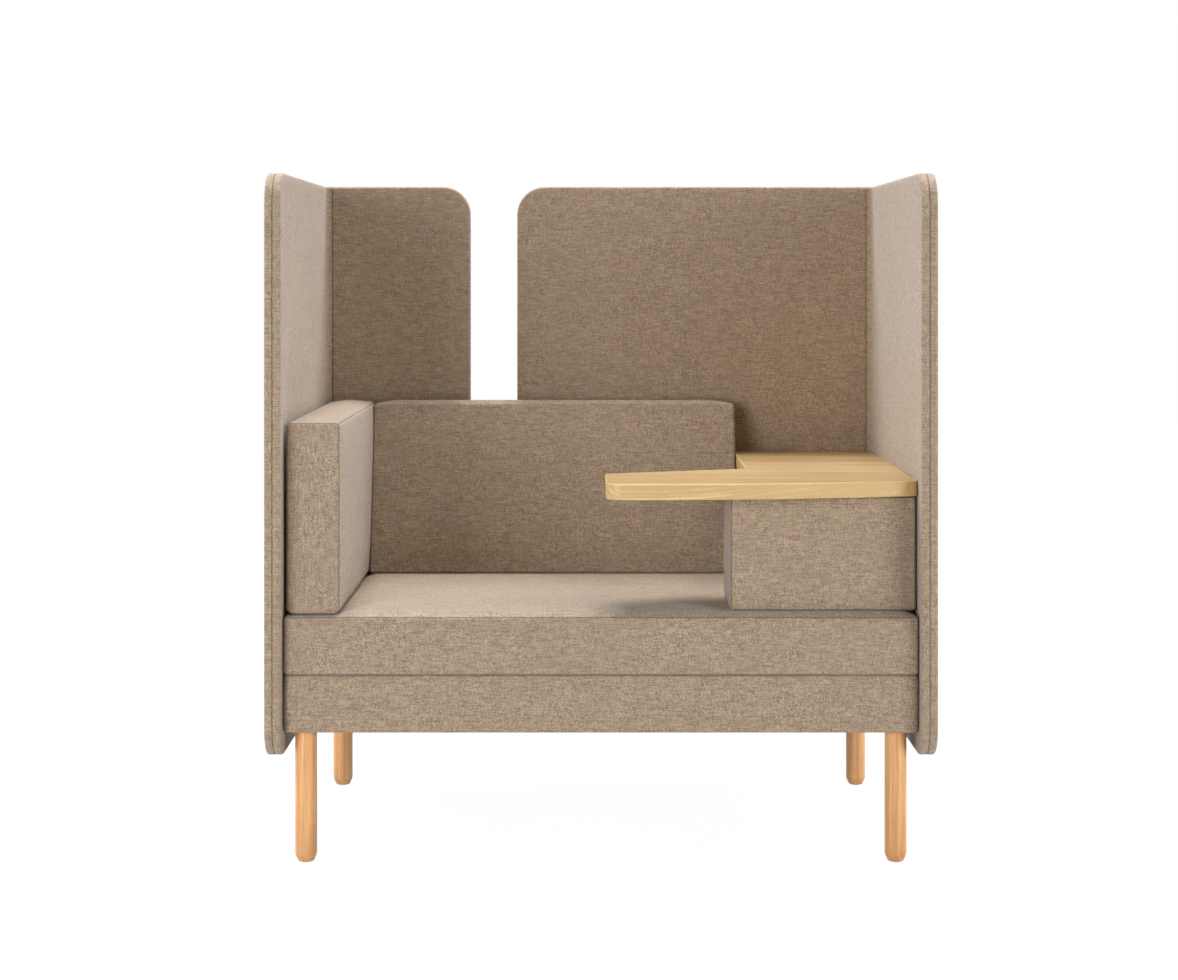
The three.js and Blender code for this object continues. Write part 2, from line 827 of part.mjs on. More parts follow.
function tableTopGeometry() {
  const right = innerHalfWidth - fit;
  const rear = innerDepth - fit;
  const notchFront = backRight - tableNotchLap;
  const notchRear = backRight + backBulge + fit + tableNotchLap;
  const frontTip = [tableTip, -tableReach];
  const frontMiddle = [(tableTip + right) / 2, -tableReach];
  const frontRight = [right, tableRightSetback];
  const rearRight = [right, rear];
  const notchEnd = [notchRear, rear];
  const notchCorner = [notchFront, tableArmBack];
  const rearTip = [tableTip, tableTipBack];
  const shape = new THREE.Shape();
  roundCorner(shape, rearTip, frontTip, frontMiddle, tableTipRadius);
  const ease = new THREE.Vector2(...frontMiddle).sub(new THREE.Vector2(...frontRight)).normalize();
  const turnIn = new THREE.Vector2(...frontRight).addScaledVector(ease, tableRightRadius);
  shape.quadraticCurveTo(...frontMiddle, turnIn.x, turnIn.y);
  roundCorner(shape, frontMiddle, frontRight, rearRight, tableRightRadius);
  roundCorner(shape, frontRight, rearRight, notchEnd, tableRearRadius);
  roundCorner(shape, rearRight, notchEnd, notchCorner, tableNotchRadius);
  roundCorner(shape, notchEnd, notchCorner, rearTip, tableNotchRadius);
  roundCorner(shape, notchCorner, rearTip, frontTip, tableRearTipRadius);
  const geometry = new THREE.ExtrudeGeometry(shape, {
    depth: tableThickness - 2 * tableArris,
    bevelThickness: tableArris,
    bevelSize: tableArris,
    bevelOffset: -tableArris,
    bevelSegments: 2,
    curveSegments: panelCornerSteps,
  });
  return geometry.translate(0, 0, tableBottom + tableArris);
}

// An angle bracket: one flange under the table and one on the inner face of a screen
function bracket(name, corner, away) {
  const shape = new THREE.Shape();
  shape.moveTo(0, 0);
  shape.lineTo(bracketLeg, 0);
  shape.lineTo(bracketLeg, -bracketThickness);
  shape.lineTo(bracketThickness + bracketBend, -bracketThickness);
  shape.absarc(
    bracketThickness + bracketBend,
    -bracketThickness - bracketBend,
    bracketBend,
    quarter,
    2 * quarter,
  );
  shape.lineTo(bracketThickness, -bracketLeg);
  shape.lineTo(0, -bracketLeg);
  const options = { depth: bracketLength, bevelEnabled: false, curveSegments: cornerSteps };
  const geometry = new THREE.ExtrudeGeometry(shape, options).translate(0, 0, -bracketLength / 2);
  const mesh = piece(name, geometry, materials.darkSteel);
  const up = new THREE.Vector3(0, 0, 1);
  const out = new THREE.Vector3(...away);
  const basis = new THREE.Matrix4().makeBasis(out, up, out.clone().cross(up));
  mesh.quaternion.setFromRotationMatrix(basis);
  mesh.position.set(...corner);
  return mesh;
}

function table() {
  const group = new THREE.Group();
  const under = tableBottom - fit;
  const rearMiddle = (backRight + innerHalfWidth) / 2;
  const sideMiddle = (blockSetback + blockDepth + innerDepth) / 2;
  group.add(
    piece('table_top', tableTopGeometry(), materials.oak),
    bracket('table_bracket_rear', [rearMiddle, innerDepth - fit, under], [0, -1, 0]),
    bracket('table_bracket_side', [innerHalfWidth - fit, sideMiddle, under], [-1, 0, 0]),
  );
  return group;
}

function bolts() {
  const group = new THREE.Group();
  const headX = frameHalfWidth - railThickness - fit;
  for (const side of [-1, 1]) {
    wingBolts.forEach((y, at) => {
      const name = `screen_bolt_${side < 0 ? 'left' : 'right'}_${at ? 'rear' : 'front'}`;
      group.add(screenBolt(name, [side * headX, y, boltHeight], [side, 0, 0]));
    });
  }
  const headY = frameRear - railThickness - fit;
  backBolts.forEach((x, at) => {
    const name = `screen_bolt_back_${at ? 'right' : 'left'}`;
    group.add(screenBolt(name, [x, headY, boltHeight], [0, 1, 0]));
  });
  return group;
}

const chair = new THREE.Group();
chair.position.y = (tableReach - screenDepth) / 2;
chair.add(
  screen('left', -1, leftReturn),
  screen('right', 1, overallWidth - leftReturn - screenSlot),
  baseFrame(),
  baseUpholstery(),
  bolts(),
  legs(),
  seatCushion(),
  armCushion(),
  backCushion(),
  tableBlock(),
  table(),
);

export default chair;
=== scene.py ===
# Looks of the acoustic high back lounge chair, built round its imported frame. Metres, +Z up.
import math

import bpy
import numpy as np
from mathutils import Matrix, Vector


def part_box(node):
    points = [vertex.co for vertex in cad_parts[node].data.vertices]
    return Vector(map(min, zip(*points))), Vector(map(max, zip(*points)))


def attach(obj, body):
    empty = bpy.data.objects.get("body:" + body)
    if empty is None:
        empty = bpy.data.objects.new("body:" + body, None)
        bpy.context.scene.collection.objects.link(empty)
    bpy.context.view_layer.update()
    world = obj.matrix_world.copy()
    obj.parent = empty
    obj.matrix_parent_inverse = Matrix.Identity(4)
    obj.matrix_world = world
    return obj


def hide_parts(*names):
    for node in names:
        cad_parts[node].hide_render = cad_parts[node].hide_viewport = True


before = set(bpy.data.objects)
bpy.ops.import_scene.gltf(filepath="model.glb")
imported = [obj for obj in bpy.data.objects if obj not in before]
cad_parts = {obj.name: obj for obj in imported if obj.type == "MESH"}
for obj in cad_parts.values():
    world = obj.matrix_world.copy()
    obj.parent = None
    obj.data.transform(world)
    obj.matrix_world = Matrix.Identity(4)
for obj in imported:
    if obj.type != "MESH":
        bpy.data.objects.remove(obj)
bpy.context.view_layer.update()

# Camera: level, at the height of the photograph's horizon
CAMERA_PLACE = (-0.02235, -4.351, 1.109)
CAMERA_LENS = 65.9
CAMERA_SHIFT = -0.185
SENSOR = 36.0

# Lamps: name, place, side in metres, watts
LAMPS = (
    ("overhead", (0, 2.1, 9.0), 3.6, 930.0),
    ("right_high", (4.0, 0, 8.0), 1.5, 114.0),
    ("left_side", (-3.6, 0, 3.2), 2.5, 125.0),
    ("right_side", (3.6, 0, 3.2), 2.5, 92.0),
    ("left_fill", (-2.7, -3.9, 1.1), 2.0, 110.0),
    ("right_fill", (3.6, -3.0, 1.1), 2.0, 86.0),
)
LAMP_AIM = (0, 0, 0.7)

# Backdrop
DOME_STRENGTH = 0.01  # as it lights the chair, and 1 as it is seen
FLOOR_HALF = 9.0
FLOOR_COLOUR = (0.5, 0.5, 0.5)  # as it lights the chair
FLOOR_SHADE = (0.05, 0.05, 0.05)  # the part that is seen to take the chair's shadow
FLOOR_GLOW = 0.985  # near the chair, and 1 from the second of the two distances outwards
FLOOR_GLOW_REACH = (1.2, 3.5)

# Fabric
YARN = 0.0018
YARN_DRIFT = 0.0002
YARN_RELIEF = 0.0006
SLUB, WEFT, WARP = 0.08, 0.5, 0.12  # thickness changes for each yarn crossed
APART, WEFT_APART = 7.3, 5.7  # noise steps from one yarn to the next, so that they differ
TONE_WEIGHTS = (1.6, 0.9, 1.05, 1.6, 0.1)  # slub, weft, warp, fleck and patch
HEIGHT_WEIGHTS = (0.45, 0.6, 0.25)  # crossing, slub and fleck
DRIFT_RATES = (5.0, 5.0, 5.0)  # noise steps per metre
PATCH_RATES = (17.0, 34.0, 1.0)
HUE_RATES = (38.0, 38.0, 5.0)
FABRIC_DARK = (0.245, 0.174, 0.118)
FABRIC_LIGHT = (0.507, 0.393, 0.287)
TINTS = ((1.02, 0.985, 1.0), (0.985, 1.01, 0.955))
SHEEN = 0.38
SHEEN_TINT = (0.97, 1.0, 1.03)

# Seams: their grooves, and the painted shade that darkens the cloth along them
SEAM_SHADE_COLOUR = (0.10, 0.07, 0.045)
SEAM_SHADE_STRENGTH = 0.85
SCREEN_SEAM_SHADE = 0.65  # how dark the painted shade on a screen's seams is, beside a cushion's
SEAM_DEPTH = 0.0012
SEAM_FADE = 0.69  # share of the edge radius at which a seam's painted shade ends

# Wood. The rates are noise steps per metre along the grain, across the rings and along them.
RING_TILT = 48.0  # degrees
BEND_RATES = (5.0, 20.0, 20.0)
RING_RATES = (4.0, 240.0, 40.0)
FIBRE_RATES = (32.0, 1300.0, 900.0)
PORE_RATES = (60.0, 900.0, 700.0)
BROAD_RATES = (2.5, 24.0, 12.0)
GRAIN_BEND = 0.008
GRAIN_RELIEF = 0.00025
GRAIN_TONES = (1.0, 0.30, 0.5)  # rings, fibres and broad bands
GRAIN_HEIGHTS = (0.5, -0.8, 0.3)  # fibres, pores and rings
PORE_SPAN = (0.62, 0.74)
PORE_STRENGTH = 0.35
STAVE = 0.044
STAVE_SHIFT = 3.0  # along the log, from one stave to the next
STAVE_TONE, STAVE_OFFSET = 0.26, -0.07

NOISE_SPAN = (0.36, 0.64)  # where most of a noise's values lie
CLOUD_SPAN = (0.3, 0.7)
SATIN = 0.06  # how far a small part's roughness wanders

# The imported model's own sizes, repeated where a piece needs them
PANEL_HALF = 0.0155
PANEL_CORNER = 0.06
PANEL_EDGE = 0.005
PANEL_SEAM_DIP = 0.0012
PANEL_COVER = 0.002
INSIDE_BEND = 0.012
FIT = 0.0003

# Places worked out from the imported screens
LEFT_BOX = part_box("left_screen_outer_cover")
RIGHT_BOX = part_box("right_screen_outer_cover")
FRONT, REAR = RIGHT_BOX[0].y, RIGHT_BOX[1].y
PANEL_BOTTOM, PANEL_TOP = RIGHT_BOX[0].z, RIGHT_BOX[1].z
HALF_WIDTH = RIGHT_BOX[1].x
INNER_HALF_WIDTH = HALF_WIDTH - 2 * PANEL_HALF
INNER_DEPTH = REAR - FRONT - 2 * PANEL_HALF

# Steps round an edge
QUARTER_TURN = np.radians([0, 22.5, 45, 67.5, 90])


# ---- materials

class Tree:
    """Short words for the nodes of one material or world."""

    def __init__(self, owner):
        owner.use_nodes = True
        self.owner = owner
        self.tree = owner.node_tree

    def put(self, socket, value):
        if isinstance(value, bpy.types.NodeSocket):
            self.tree.links.new(value, socket)
        else:
            socket.default_value = (*value, 1.0) if socket.type == "RGBA" else value

    def node(self, kind, inputs=(), **settings):
        made = self.tree.nodes.new("ShaderNode" + kind)
        for key, value in settings.items():
            setattr(made, key, value)
        for key, value in dict(inputs).items():
            self.put(made.inputs[key], value)
        return made

    def fill(self, name, **values):
        """Values and links for a node that is there from the start."""
        for key, value in values.items():
            self.put(self.tree.nodes[name].inputs[key.replace("_", " ")], value)

    def place(self):
        return self.node("TexCoord").outputs["Object"]

    def attribute(self, name, kind="Vector"):
        return self.node("Attribute", attribute_name=name).outputs[kind]

    def scaled(self, vector, scale):
        return self.node("VectorMath", {0: vector, 1: scale}, operation="MULTIPLY").outputs[0]

    def moved(self, vector, other, strength):
        inputs = {0: other, 1: (strength,) * 3, 2: vector}
        return self.node("VectorMath", inputs, operation="MULTIPLY_ADD").outputs[0]

    def noise(self, vector, detail=2.0, roughness=0.5, colour=False):
        inputs = {"Vector": vector, "Scale": 1.0, "Detail": detail, "Roughness": roughness}
        return self.node("TexNoise", inputs).outputs["Color" if colour else "Fac"]

    def sums(self, *parts, start=0.0):
        """The sum of (socket, weight) pairs, from start on."""
        for socket, weight in parts:
            start = self.node("Math", {0: socket, 1: weight, 2: start}, operation="MULTIPLY_ADD").outputs[0]
        return start

    def blend(self, parts, weights):
        """The weighted sum of noises, moved to keep their middle value of a half."""
        return self.sums(*zip(parts, weights), start=0.5 - sum(weights) / 2)

    def math(self, operation, first, second=0.0):
        return self.node("Math", {0: first, 1: second}, operation=operation).outputs[0]

    def ranged(self, value, low, high, to_low=0.0, to_high=1.0, smooth=False):
        inputs = {0: value, 1: low, 2: high, 3: to_low, 4: to_high}
        kind = "SMOOTHSTEP" if smooth else "LINEAR"
        return self.node("MapRange", inputs, interpolation_type=kind).outputs[0]

    def mixed(self, factor, first, second, blend="MIX"):
        made = self.node("Mix", {0: factor}, data_type="RGBA", blend_type=blend)
        self.put(made.inputs[6], first)
        self.put(made.inputs[7], second)
        return made.outputs[2]

    def bump(self, height, distance, strength):
        return self.node("Bump", {"Height": height, "Distance": distance, "Strength": strength}).outputs[0]

    def backdrop_rays(self):
        """1 for the rays that show the backdrop, straight on or in a surface."""
        path = self.node("LightPath")
        seen = path.outputs["Is Camera Ray"]
        for name in ("Is Glossy Ray", "Is Transmission Ray"):
            seen = self.math("MAXIMUM", seen, path.outputs[name])
        return seen


def material_tree(name):
    return Tree(bpy.data.materials.new(name))


def yarn_place(tree, cloth):
    """The place in yarns across and along, its column, its row and its panel."""
    drift = tree.noise(tree.scaled(cloth, DRIFT_RATES), 1.0, colour=True)
    even = tree.scaled(tree.moved(cloth, drift, YARN_DRIFT), (1 / YARN, 1 / YARN, 1.0))
    across, along, panel = tree.node("SeparateXYZ", {0: even}).outputs
    return across, along, tree.math("FLOOR", across), tree.math("FLOOR", along), panel


def yarn_noises(tree, cloth, place):
    """The slubs, the weft, the warp, the fleck of each crossing and the wide patches."""
    across, along, column, row, panel = place

    def joined(x, y):
        return tree.node("CombineXYZ", {0: x, 1: y, 2: panel}).outputs[0]

    def yarns(x, x_rate, y, y_rate):
        point = joined(tree.math("MULTIPLY", x, x_rate), tree.math("MULTIPLY", y, y_rate))
        return tree.noise(point, 0.0)

    return (
        yarns(across, SLUB, row, APART),
        yarns(across, WEFT, row, WEFT_APART),
        yarns(column, APART, along, WARP),
        tree.node("TexWhiteNoise", {"Vector": joined(column, row)}).outputs["Value"],
        tree.noise(tree.scaled(cloth, PATCH_RATES), 3.0, 0.6),
    )


def crossings(tree, place):
    """Height of the yarn on top, the weft and the warp by turns."""
    across, along, column, row, _ = place
    over = tree.math("FRACT", tree.sums((column, 0.5), (row, 0.5)))
    crests = [tree.math("SINE", tree.math("MULTIPLY", tree.math("FRACT", way), math.pi))
              for way in (along, across)]
    inputs = {0: tree.math("MULTIPLY", over, 2.0), 2: crests[0], 3: crests[1]}
    return tree.node("Mix", inputs).outputs[0]


def fabric_colour(tree, cloth, tone):
    """The yarns' tone, with a drift of hue, and painted shade on the seams."""
    colour = tree.mixed(tone, FABRIC_DARK, FABRIC_LIGHT)
    hue = tree.noise(tree.scaled(cloth, HUE_RATES), 2.0, 0.6)
    tint = tree.mixed(tree.ranged(hue, *NOISE_SPAN), *TINTS)
    colour = tree.mixed(1.0, colour, tint, "MULTIPLY")
    # painted shade along the seams, where their grooves are shaded
    seam_shade = tree.math("MULTIPLY", tree.attribute("mark", "Fac"), SEAM_SHADE_STRENGTH)
    return tree.mixed(seam_shade, colour, SEAM_SHADE_COLOUR)


def fabric_material():
    """Plain weave of melange yarns. The cloth attribute holds the place in the panel's own plane,
    with the weft along x, and the panel's number."""
    tree = material_tree("melange_weave")
    cloth = tree.attribute("cloth")
    place = yarn_place(tree, cloth)
    noises = yarn_noises(tree, cloth, place)
    slub, _, _, fleck, _ = noises
    tone = tree.blend(noises, TONE_WEIGHTS)
    height = tree.sums(*zip((crossings(tree, place), slub, fleck), HEIGHT_WEIGHTS))
    tree.fill(
        "Principled BSDF",
        Base_Color=fabric_colour(tree, cloth, tone),
        Roughness=tree.ranged(tone, 0.0, 1.0, 0.98, 0.86),
        Normal=tree.bump(height, YARN_RELIEF, 0.8),
        Specular_IOR_Level=0.2,
        Sheen_Weight=SHEEN,
        Sheen_Roughness=0.5,
        Sheen_Tint=SHEEN_TINT,
    )
    return tree.owner


def stave_place(tree, width):
    """The place in each stave's own log, and the stave's noise. The staves are glued side by side
    across y, and a marked edge shows one of them."""
    point = tree.place()
    across = tree.node("SeparateXYZ", {0: point}).outputs["Y"]
    number = tree.math("FLOOR", tree.math("DIVIDE", across, width))
    top = tree.math("LESS_THAN", tree.attribute("mark", "Fac"), 0.5)
    inputs = {"W": tree.math("MULTIPLY", number, top)}
    stave = tree.node("TexWhiteNoise", inputs, noise_dimensions="1D")
    return tree.moved(point, stave.outputs["Color"], STAVE_SHIFT), stave.outputs["Value"]


def grain_material(name, along, light, dark, pore, rough, staves=None, painted_edge_light=(1.0, 1.0, 1.0)):
    """Wood whose grain runs along one axis, with its rings tilted across it, in staves if their
    width is given. The last argument lightens a marked edge with painted light, to make it lighter than the
    top."""
    tree = material_tree(name)
    point, stave = stave_place(tree, staves) if staves else (tree.place(), None)
    turn = [0.0, 0.0, 0.0]
    turn[along] = math.radians(RING_TILT)
    inputs = {"Vector": point, "Rotation": turn}
    point = tree.node("VectorRotate", inputs, rotation_type="EULER_XYZ").outputs[0]

    def grain(vector, rates, detail, roughness=0.5, colour=False):
        scale = [rates[2]] * 3
        scale[along], scale[(along + 1) % 3] = rates[:2]
        return tree.noise(tree.scaled(vector, scale), detail, roughness, colour)

    bent = tree.moved(point, grain(point, BEND_RATES, 2.0, colour=True), GRAIN_BEND)
    rings, fibre = grain(bent, RING_RATES, 3.0, 0.62), grain(bent, FIBRE_RATES, 2.0, 0.6)
    pores = tree.ranged(grain(bent, PORE_RATES, 1.0), *PORE_SPAN)
    tone = tree.blend((rings, fibre, grain(point, BROAD_RATES, 2.0)), GRAIN_TONES)
    if staves:
        tone = tree.sums((stave, STAVE_TONE), (tone, 1.0), start=STAVE_OFFSET)
    colour = tree.mixed(tree.ranged(tone, *NOISE_SPAN), light, dark)
    colour = tree.mixed(tree.math("MULTIPLY", pores, PORE_STRENGTH), colour, pore)
    # painted light: a marked edge is made lighter than the top
    colour = tree.mixed(tree.attribute("mark", "Fac"), colour, painted_edge_light, "MULTIPLY")
    height = tree.sums(*zip((fibre, pores, rings), GRAIN_HEIGHTS))
    tree.fill(
        "Principled BSDF",
        Base_Color=colour,
        Roughness=tree.ranged(fibre, *CLOUD_SPAN, rough, rough + 0.1),
        Normal=tree.bump(height, GRAIN_RELIEF, 0.5),
        Coat_Weight=0.12,
        Coat_Roughness=0.35,
    )
    return tree.owner


def plain_material(name, colour, rate, spread, rough, relief, metallic=0.0):
    """Mottled material of a hidden or small part."""
    tree = material_tree(name)
    cloud = tree.noise(tree.scaled(tree.place(), (rate,) * 3), 4.0, 0.6)
    dim = [value * (1 - spread) for value in colour]
    bright = [min(1.0, value * (1 + spread)) for value in colour]
    tree.fill(
        "Principled BSDF",
        Base_Color=tree.mixed(tree.ranged(cloud, *CLOUD_SPAN), dim, bright),
        Roughness=tree.ranged(cloud, *CLOUD_SPAN, rough - SATIN, rough + SATIN),
        Normal=tree.bump(cloud, relief, 0.6),
        Metallic=metallic,
    )
    return tree.owner


def floor_material():
    """Lights the chair as a grey floor, and is seen as white with the chair's shadow."""
    tree = material_tree("pale_floor")
    lit, shade = [tree.node("BsdfDiffuse", {"Color": colour}).outputs[0]
                  for colour in (FLOOR_COLOUR, FLOOR_SHADE)]
    away = tree.node("VectorMath", {0: tree.place()}, operation="LENGTH")
    strength = tree.ranged(away.outputs["Value"], *FLOOR_GLOW_REACH, FLOOR_GLOW, 1.0, smooth=True)
    glow = tree.node("Emission", {"Color": (1, 1, 1), "Strength": strength})
    seen = tree.node("AddShader", {0: shade, 1: glow.outputs[0]}).outputs[0]
    both = tree.node("MixShader", {0: tree.backdrop_rays(), 1: lit, 2: seen}).outputs[0]
    tree.fill("Material Output", Surface=both)
    return tree.owner


FABRIC = fabric_material()

# Wood: name, axis of the grain, light, dark and pore colour, roughness
# The oak's last colour is painted light that makes the table's edge lighter than its top
OAK = grain_material(
    "oiled_oak", 0, (0.515, 0.366, 0.180), (0.362, 0.224, 0.082), (0.25, 0.15, 0.06), 0.42,
    staves=STAVE, painted_edge_light=(1.62, 1.74, 1.92))
BEECH = grain_material(
    "lacquered_beech", 2, (0.880, 0.485, 0.207), (0.670, 0.314, 0.112), (0.48, 0.22, 0.08), 0.36)
PLY = grain_material(
    "birch_ply", 0, (0.66, 0.49, 0.30), (0.50, 0.35, 0.19), (0.3, 0.2, 0.1), 0.6)
SOFTWOOD = grain_material(
    "planed_softwood", 0, (0.72, 0.55, 0.34), (0.60, 0.41, 0.22), (0.45, 0.28, 0.14), 0.6)

# Name, colour, mottles per metre, their contrast, roughness, relief, how metallic
FOAM = plain_material("cut_foam", (0.72, 0.66, 0.50), 900.0, 0.12, 0.9, 0.0006)
FELT = plain_material("pressed_felt", (0.20, 0.19, 0.18), 1400.0, 0.3, 0.93, 0.0004)
STEEL = plain_material("zinc_steel", (0.55, 0.56, 0.58), 260.0, 0.08, 0.34, 0.00003, 1.0)
DARK_STEEL = plain_material(
    "powder_coated_steel", (0.035, 0.036, 0.038), 1800.0, 0.2, 0.48, 0.00005)
NYLON = plain_material("moulded_nylon", (0.40, 0.25, 0.13), 700.0, 0.12, 0.5, 0.00005)
DUST = plain_material("spun_bonded_sheet", (0.020, 0.019, 0.019), 1100.0, 0.45, 0.92, 0.0003)


# ---- meshes

def added(name, data):
    """A new object in the scene."""
    thing = bpy.data.objects.new(name, data)
    bpy.context.scene.collection.objects.link(thing)
    return thing


def make(name, points, faces, material, cloth=None, mark=None):
    """One smooth piece that rides on the frame's only body. mark is 1 at the points of a seam in
    cloth, for painted shade, and of the table top's edge in wood, for painted light."""
    mesh = bpy.data.meshes.new(name)
    mesh.from_pydata(np.asarray(points).tolist(), [], [list(map(int, face)) for face in faces])
    mesh.polygons.foreach_set("use_smooth", [True] * len(mesh.polygons))
    if cloth is not None:
        layer = mesh.attributes.new("cloth", "FLOAT_VECTOR", "CORNER")
        layer.data.foreach_set("vector", np.asarray(cloth, np.float32).ravel())
    if mark is not None:
        layer = mesh.attributes.new("mark", "FLOAT", "POINT")
        layer.data.foreach_set("value", np.asarray(mark, np.float32))
    mesh.materials.append(material)
    piece = added(name, mesh)
    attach(piece, "root")
    return piece


def circle(sides):
    """Points on the unit circle."""
    angles = 2 * math.pi * np.arange(sides) / sides
    return np.stack([np.cos(angles), np.sin(angles)], axis=1)


def quads(numbers):
    """Faces between the neighbours in a grid of point numbers."""
    corners = [numbers[:-1, :-1], numbers[1:, :-1], numbers[1:, 1:], numbers[:-1, 1:]]
    return np.stack(corners, axis=-1).reshape(-1, 4)


def rim(grid):
    """The border of a grid as a loop."""
    return np.concatenate([grid[:-1, 0], grid[-1, :-1], grid[:0:-1, -1], grid[0, :0:-1]])


def ring_faces(loops):
    """Faces between loops of point numbers."""
    faces = []
    for first, second in zip(loops, loops[1:]):
        faces += np.stack([first, np.roll(first, -1), np.roll(second, -1), second], axis=1).tolist()
    return faces


def closed_tube(loops):
    """Faces between the loops and over both ends."""
    return ring_faces(loops) + [loops[0][::-1].tolist(), loops[-1].tolist()]


def loop_numbers(start, count, size):
    """Point numbers of loops of the same size that follow each other."""
    return list(start + np.arange(count * size).reshape(count, size))


def stacked(outlines, heights):
    """Points of flat outlines, each at its own height."""
    return np.concatenate([np.column_stack([outline, np.full(len(outline), z)])
                           for outline, z in zip(outlines, heights)])


def lengths(points):
    """How far each point of a line is from its start, along the line."""
    return np.concatenate([[0], np.hypot(*np.diff(points, axis=0).T).cumsum()])


def unit(vectors):
    return vectors / np.linalg.norm(vectors, axis=-1, keepdims=True)


def rounded_edge(radius, bottom):
    """(inset, z) round the lower edge of a slab, from its underside to its side."""
    return [(radius * (1 - math.sin(a)), bottom + radius * (1 - math.cos(a))) for a in QUARTER_TURN]


def mirrored(profile, bottom, top):
    """The same (inset, z) points for the upper edge, in the opposite order."""
    return [(inset, top + bottom - z) for inset, z in profile[::-1]]


# ---- cushions

SIDES = {"-x": (0, 0), "+x": (0, -1), "-y": (1, 0), "+y": (1, -1), "-z": (2, 0), "+z": (2, -1)}
TURN_SHARES = (1.0, 0.86, 0.6, 0.3)  # of the 45 degrees from a flat face to the middle of its edge
COARSE_SHARES = (1.0, 0.5)
CUSHION_STEP = 0.008
CLOTH_PRESSURE = 4.0
CLOTH_STEPS = 20
CAP_REACH = 0.07
PANEL_SHIFTS = (0.37, 0.61)  # of the weave, from one side of a cushion to the next
ARM_LONG_EDGES = (0.013, 0.013, 0.009, 0.008)
BACK_DEPTHS = (0.154, 0.052)  # at the bottom and at the top


def places_along(length, radius, step, shares):
    """Places along one side, close together where the edge is rounded."""
    core = length / 2 - radius
    ends = [core + radius * math.tan(share * math.pi / 4) for share in shares]
    count = max(2, round(2 * core / step))
    inner = np.linspace(-core, core, count + 1)
    return np.concatenate([[-end for end in ends], inner, ends[::-1]])


class Lattice:
    """The surface of a box: its points on a cuboid and on the rounded box, its faces, their sides."""

    def __init__(self, size, radius, step, shares):
        self.half = np.array(size) / 2
        self.radius = radius
        self.places = [places_along(length, radius, step, shares) for length in size]
        on = np.zeros([len(places) for places in self.places], bool)
        for axis in range(3):
            np.moveaxis(on, axis, 0)[[0, -1]] = True
        self.index = np.full(on.shape, -1)
        self.index[on] = np.arange(on.sum())
        cells = np.argwhere(on)
        self.cube = np.stack([self.places[axis][cells[:, axis]] for axis in range(3)], axis=1)
        self.faces, self.side_of = [], []
        for name, (axis, end) in SIDES.items():
            faces = quads(np.take(self.index, end, axis=axis))
            self.faces.append(faces[:, ::-1] if (end == 0) != (axis == 1) else faces)
            self.side_of += [name] * len(faces)
        self.faces = np.concatenate(self.faces)
        core = self.half - radius
        self.inner = np.clip(self.cube, -core, core)
        self.out = unit(self.cube - self.inner)
        self.points = self.inner + radius * self.out

    def on_side(self, name):
        axis, end = SIDES[name]
        return np.isclose(self.cube[:, axis], self.half[axis] if end else -self.half[axis])

    def spread(self, coarse, values):
        """Values at the points of a coarser lattice, carried over to this one's points."""
        result = np.zeros_like(self.cube)
        for name, (axis, end) in SIDES.items():
            mine = self.on_side(name)
            grid = values[np.take(coarse.index, end, axis=axis)]
            first, second = [other for other in range(3) if other != axis]
            (i, s), (j, t) = [between(coarse.places[k], self.cube[mine, k]) for k in (first, second)]
            s, t = s[:, None], t[:, None]
            near = grid[i, j] * (1 - t) + grid[i, j + 1] * t
            far = grid[i + 1, j] * (1 - t) + grid[i + 1, j + 1] * t
            result[mine] = near * (1 - s) + far * s
        return result


def between(places, wanted):
    """For each wanted place, the number of the one below it and the share of the way to the next."""
    below = np.clip(np.searchsorted(places, wanted) - 1, 0, len(places) - 2)
    return below, (wanted - places[below]) / (places[below + 1] - places[below])


def rise(distance, reach):
    """0 at the border and 1 from reach inwards, steepest at the border."""
    share = np.clip(distance / reach, 0, 1)
    return 1 - (1 - share) ** 2


def crown(lattice, side, amount, reach, margins=(0, 0, 0, 0)):
    """Lifts the middle of a side. The margins widen the flat border at the low and the high end of
    the side's first and second axis."""
    axis, end = SIDES[side]
    on = lattice.on_side(side)
    weight = np.ones(on.sum())
    others = [other for other in range(3) if other != axis]
    core = lattice.half - lattice.radius
    for other, low, high in zip(others, margins[::2], margins[1::2]):
        places = lattice.inner[on, other]
        weight *= rise(np.minimum(places + core[other] - low, core[other] - high - places), reach)
    shift = np.zeros_like(lattice.cube)
    shift[on, axis] = weight * (amount if end else -amount)
    return shift


def puffed(points, faces, pinned):
    """Where the points go when the skin is blown up as cloth, held at the pinned ones."""
    mesh = bpy.data.meshes.new("puffed")
    mesh.from_pydata(points.tolist(), [], faces.tolist())
    body = added("puffed", mesh)
    group = body.vertex_groups.new(name="held")
    group.add(np.flatnonzero(pinned).tolist(), 1.0, "REPLACE")
    cloth = body.modifiers.new("cloth", "CLOTH")
    cloth.settings.vertex_group_mass = "held"
    cloth.settings.use_pressure = True
    cloth.settings.uniform_pressure_force = CLOTH_PRESSURE
    cloth.settings.effector_weights.gravity = 0.0
    for number in range(1, CLOTH_STEPS + 1):
        bpy.context.scene.frame_set(number)
    done = body.evaluated_get(bpy.context.evaluated_depsgraph_get())
    moved = np.empty(len(points) * 3)
    done.data.vertices.foreach_get("co", moved)
    bpy.context.scene.frame_set(1)
    bpy.data.objects.remove(body)
    return moved.reshape(-1, 3)


def edge_points(lattice, edges):
    """The points on the middle lines of the named edges, such as ('-y', '+z')."""
    found = np.zeros(len(lattice.cube), bool)
    for first, second in edges:
        found |= lattice.on_side(first) & lattice.on_side(second)
    return found


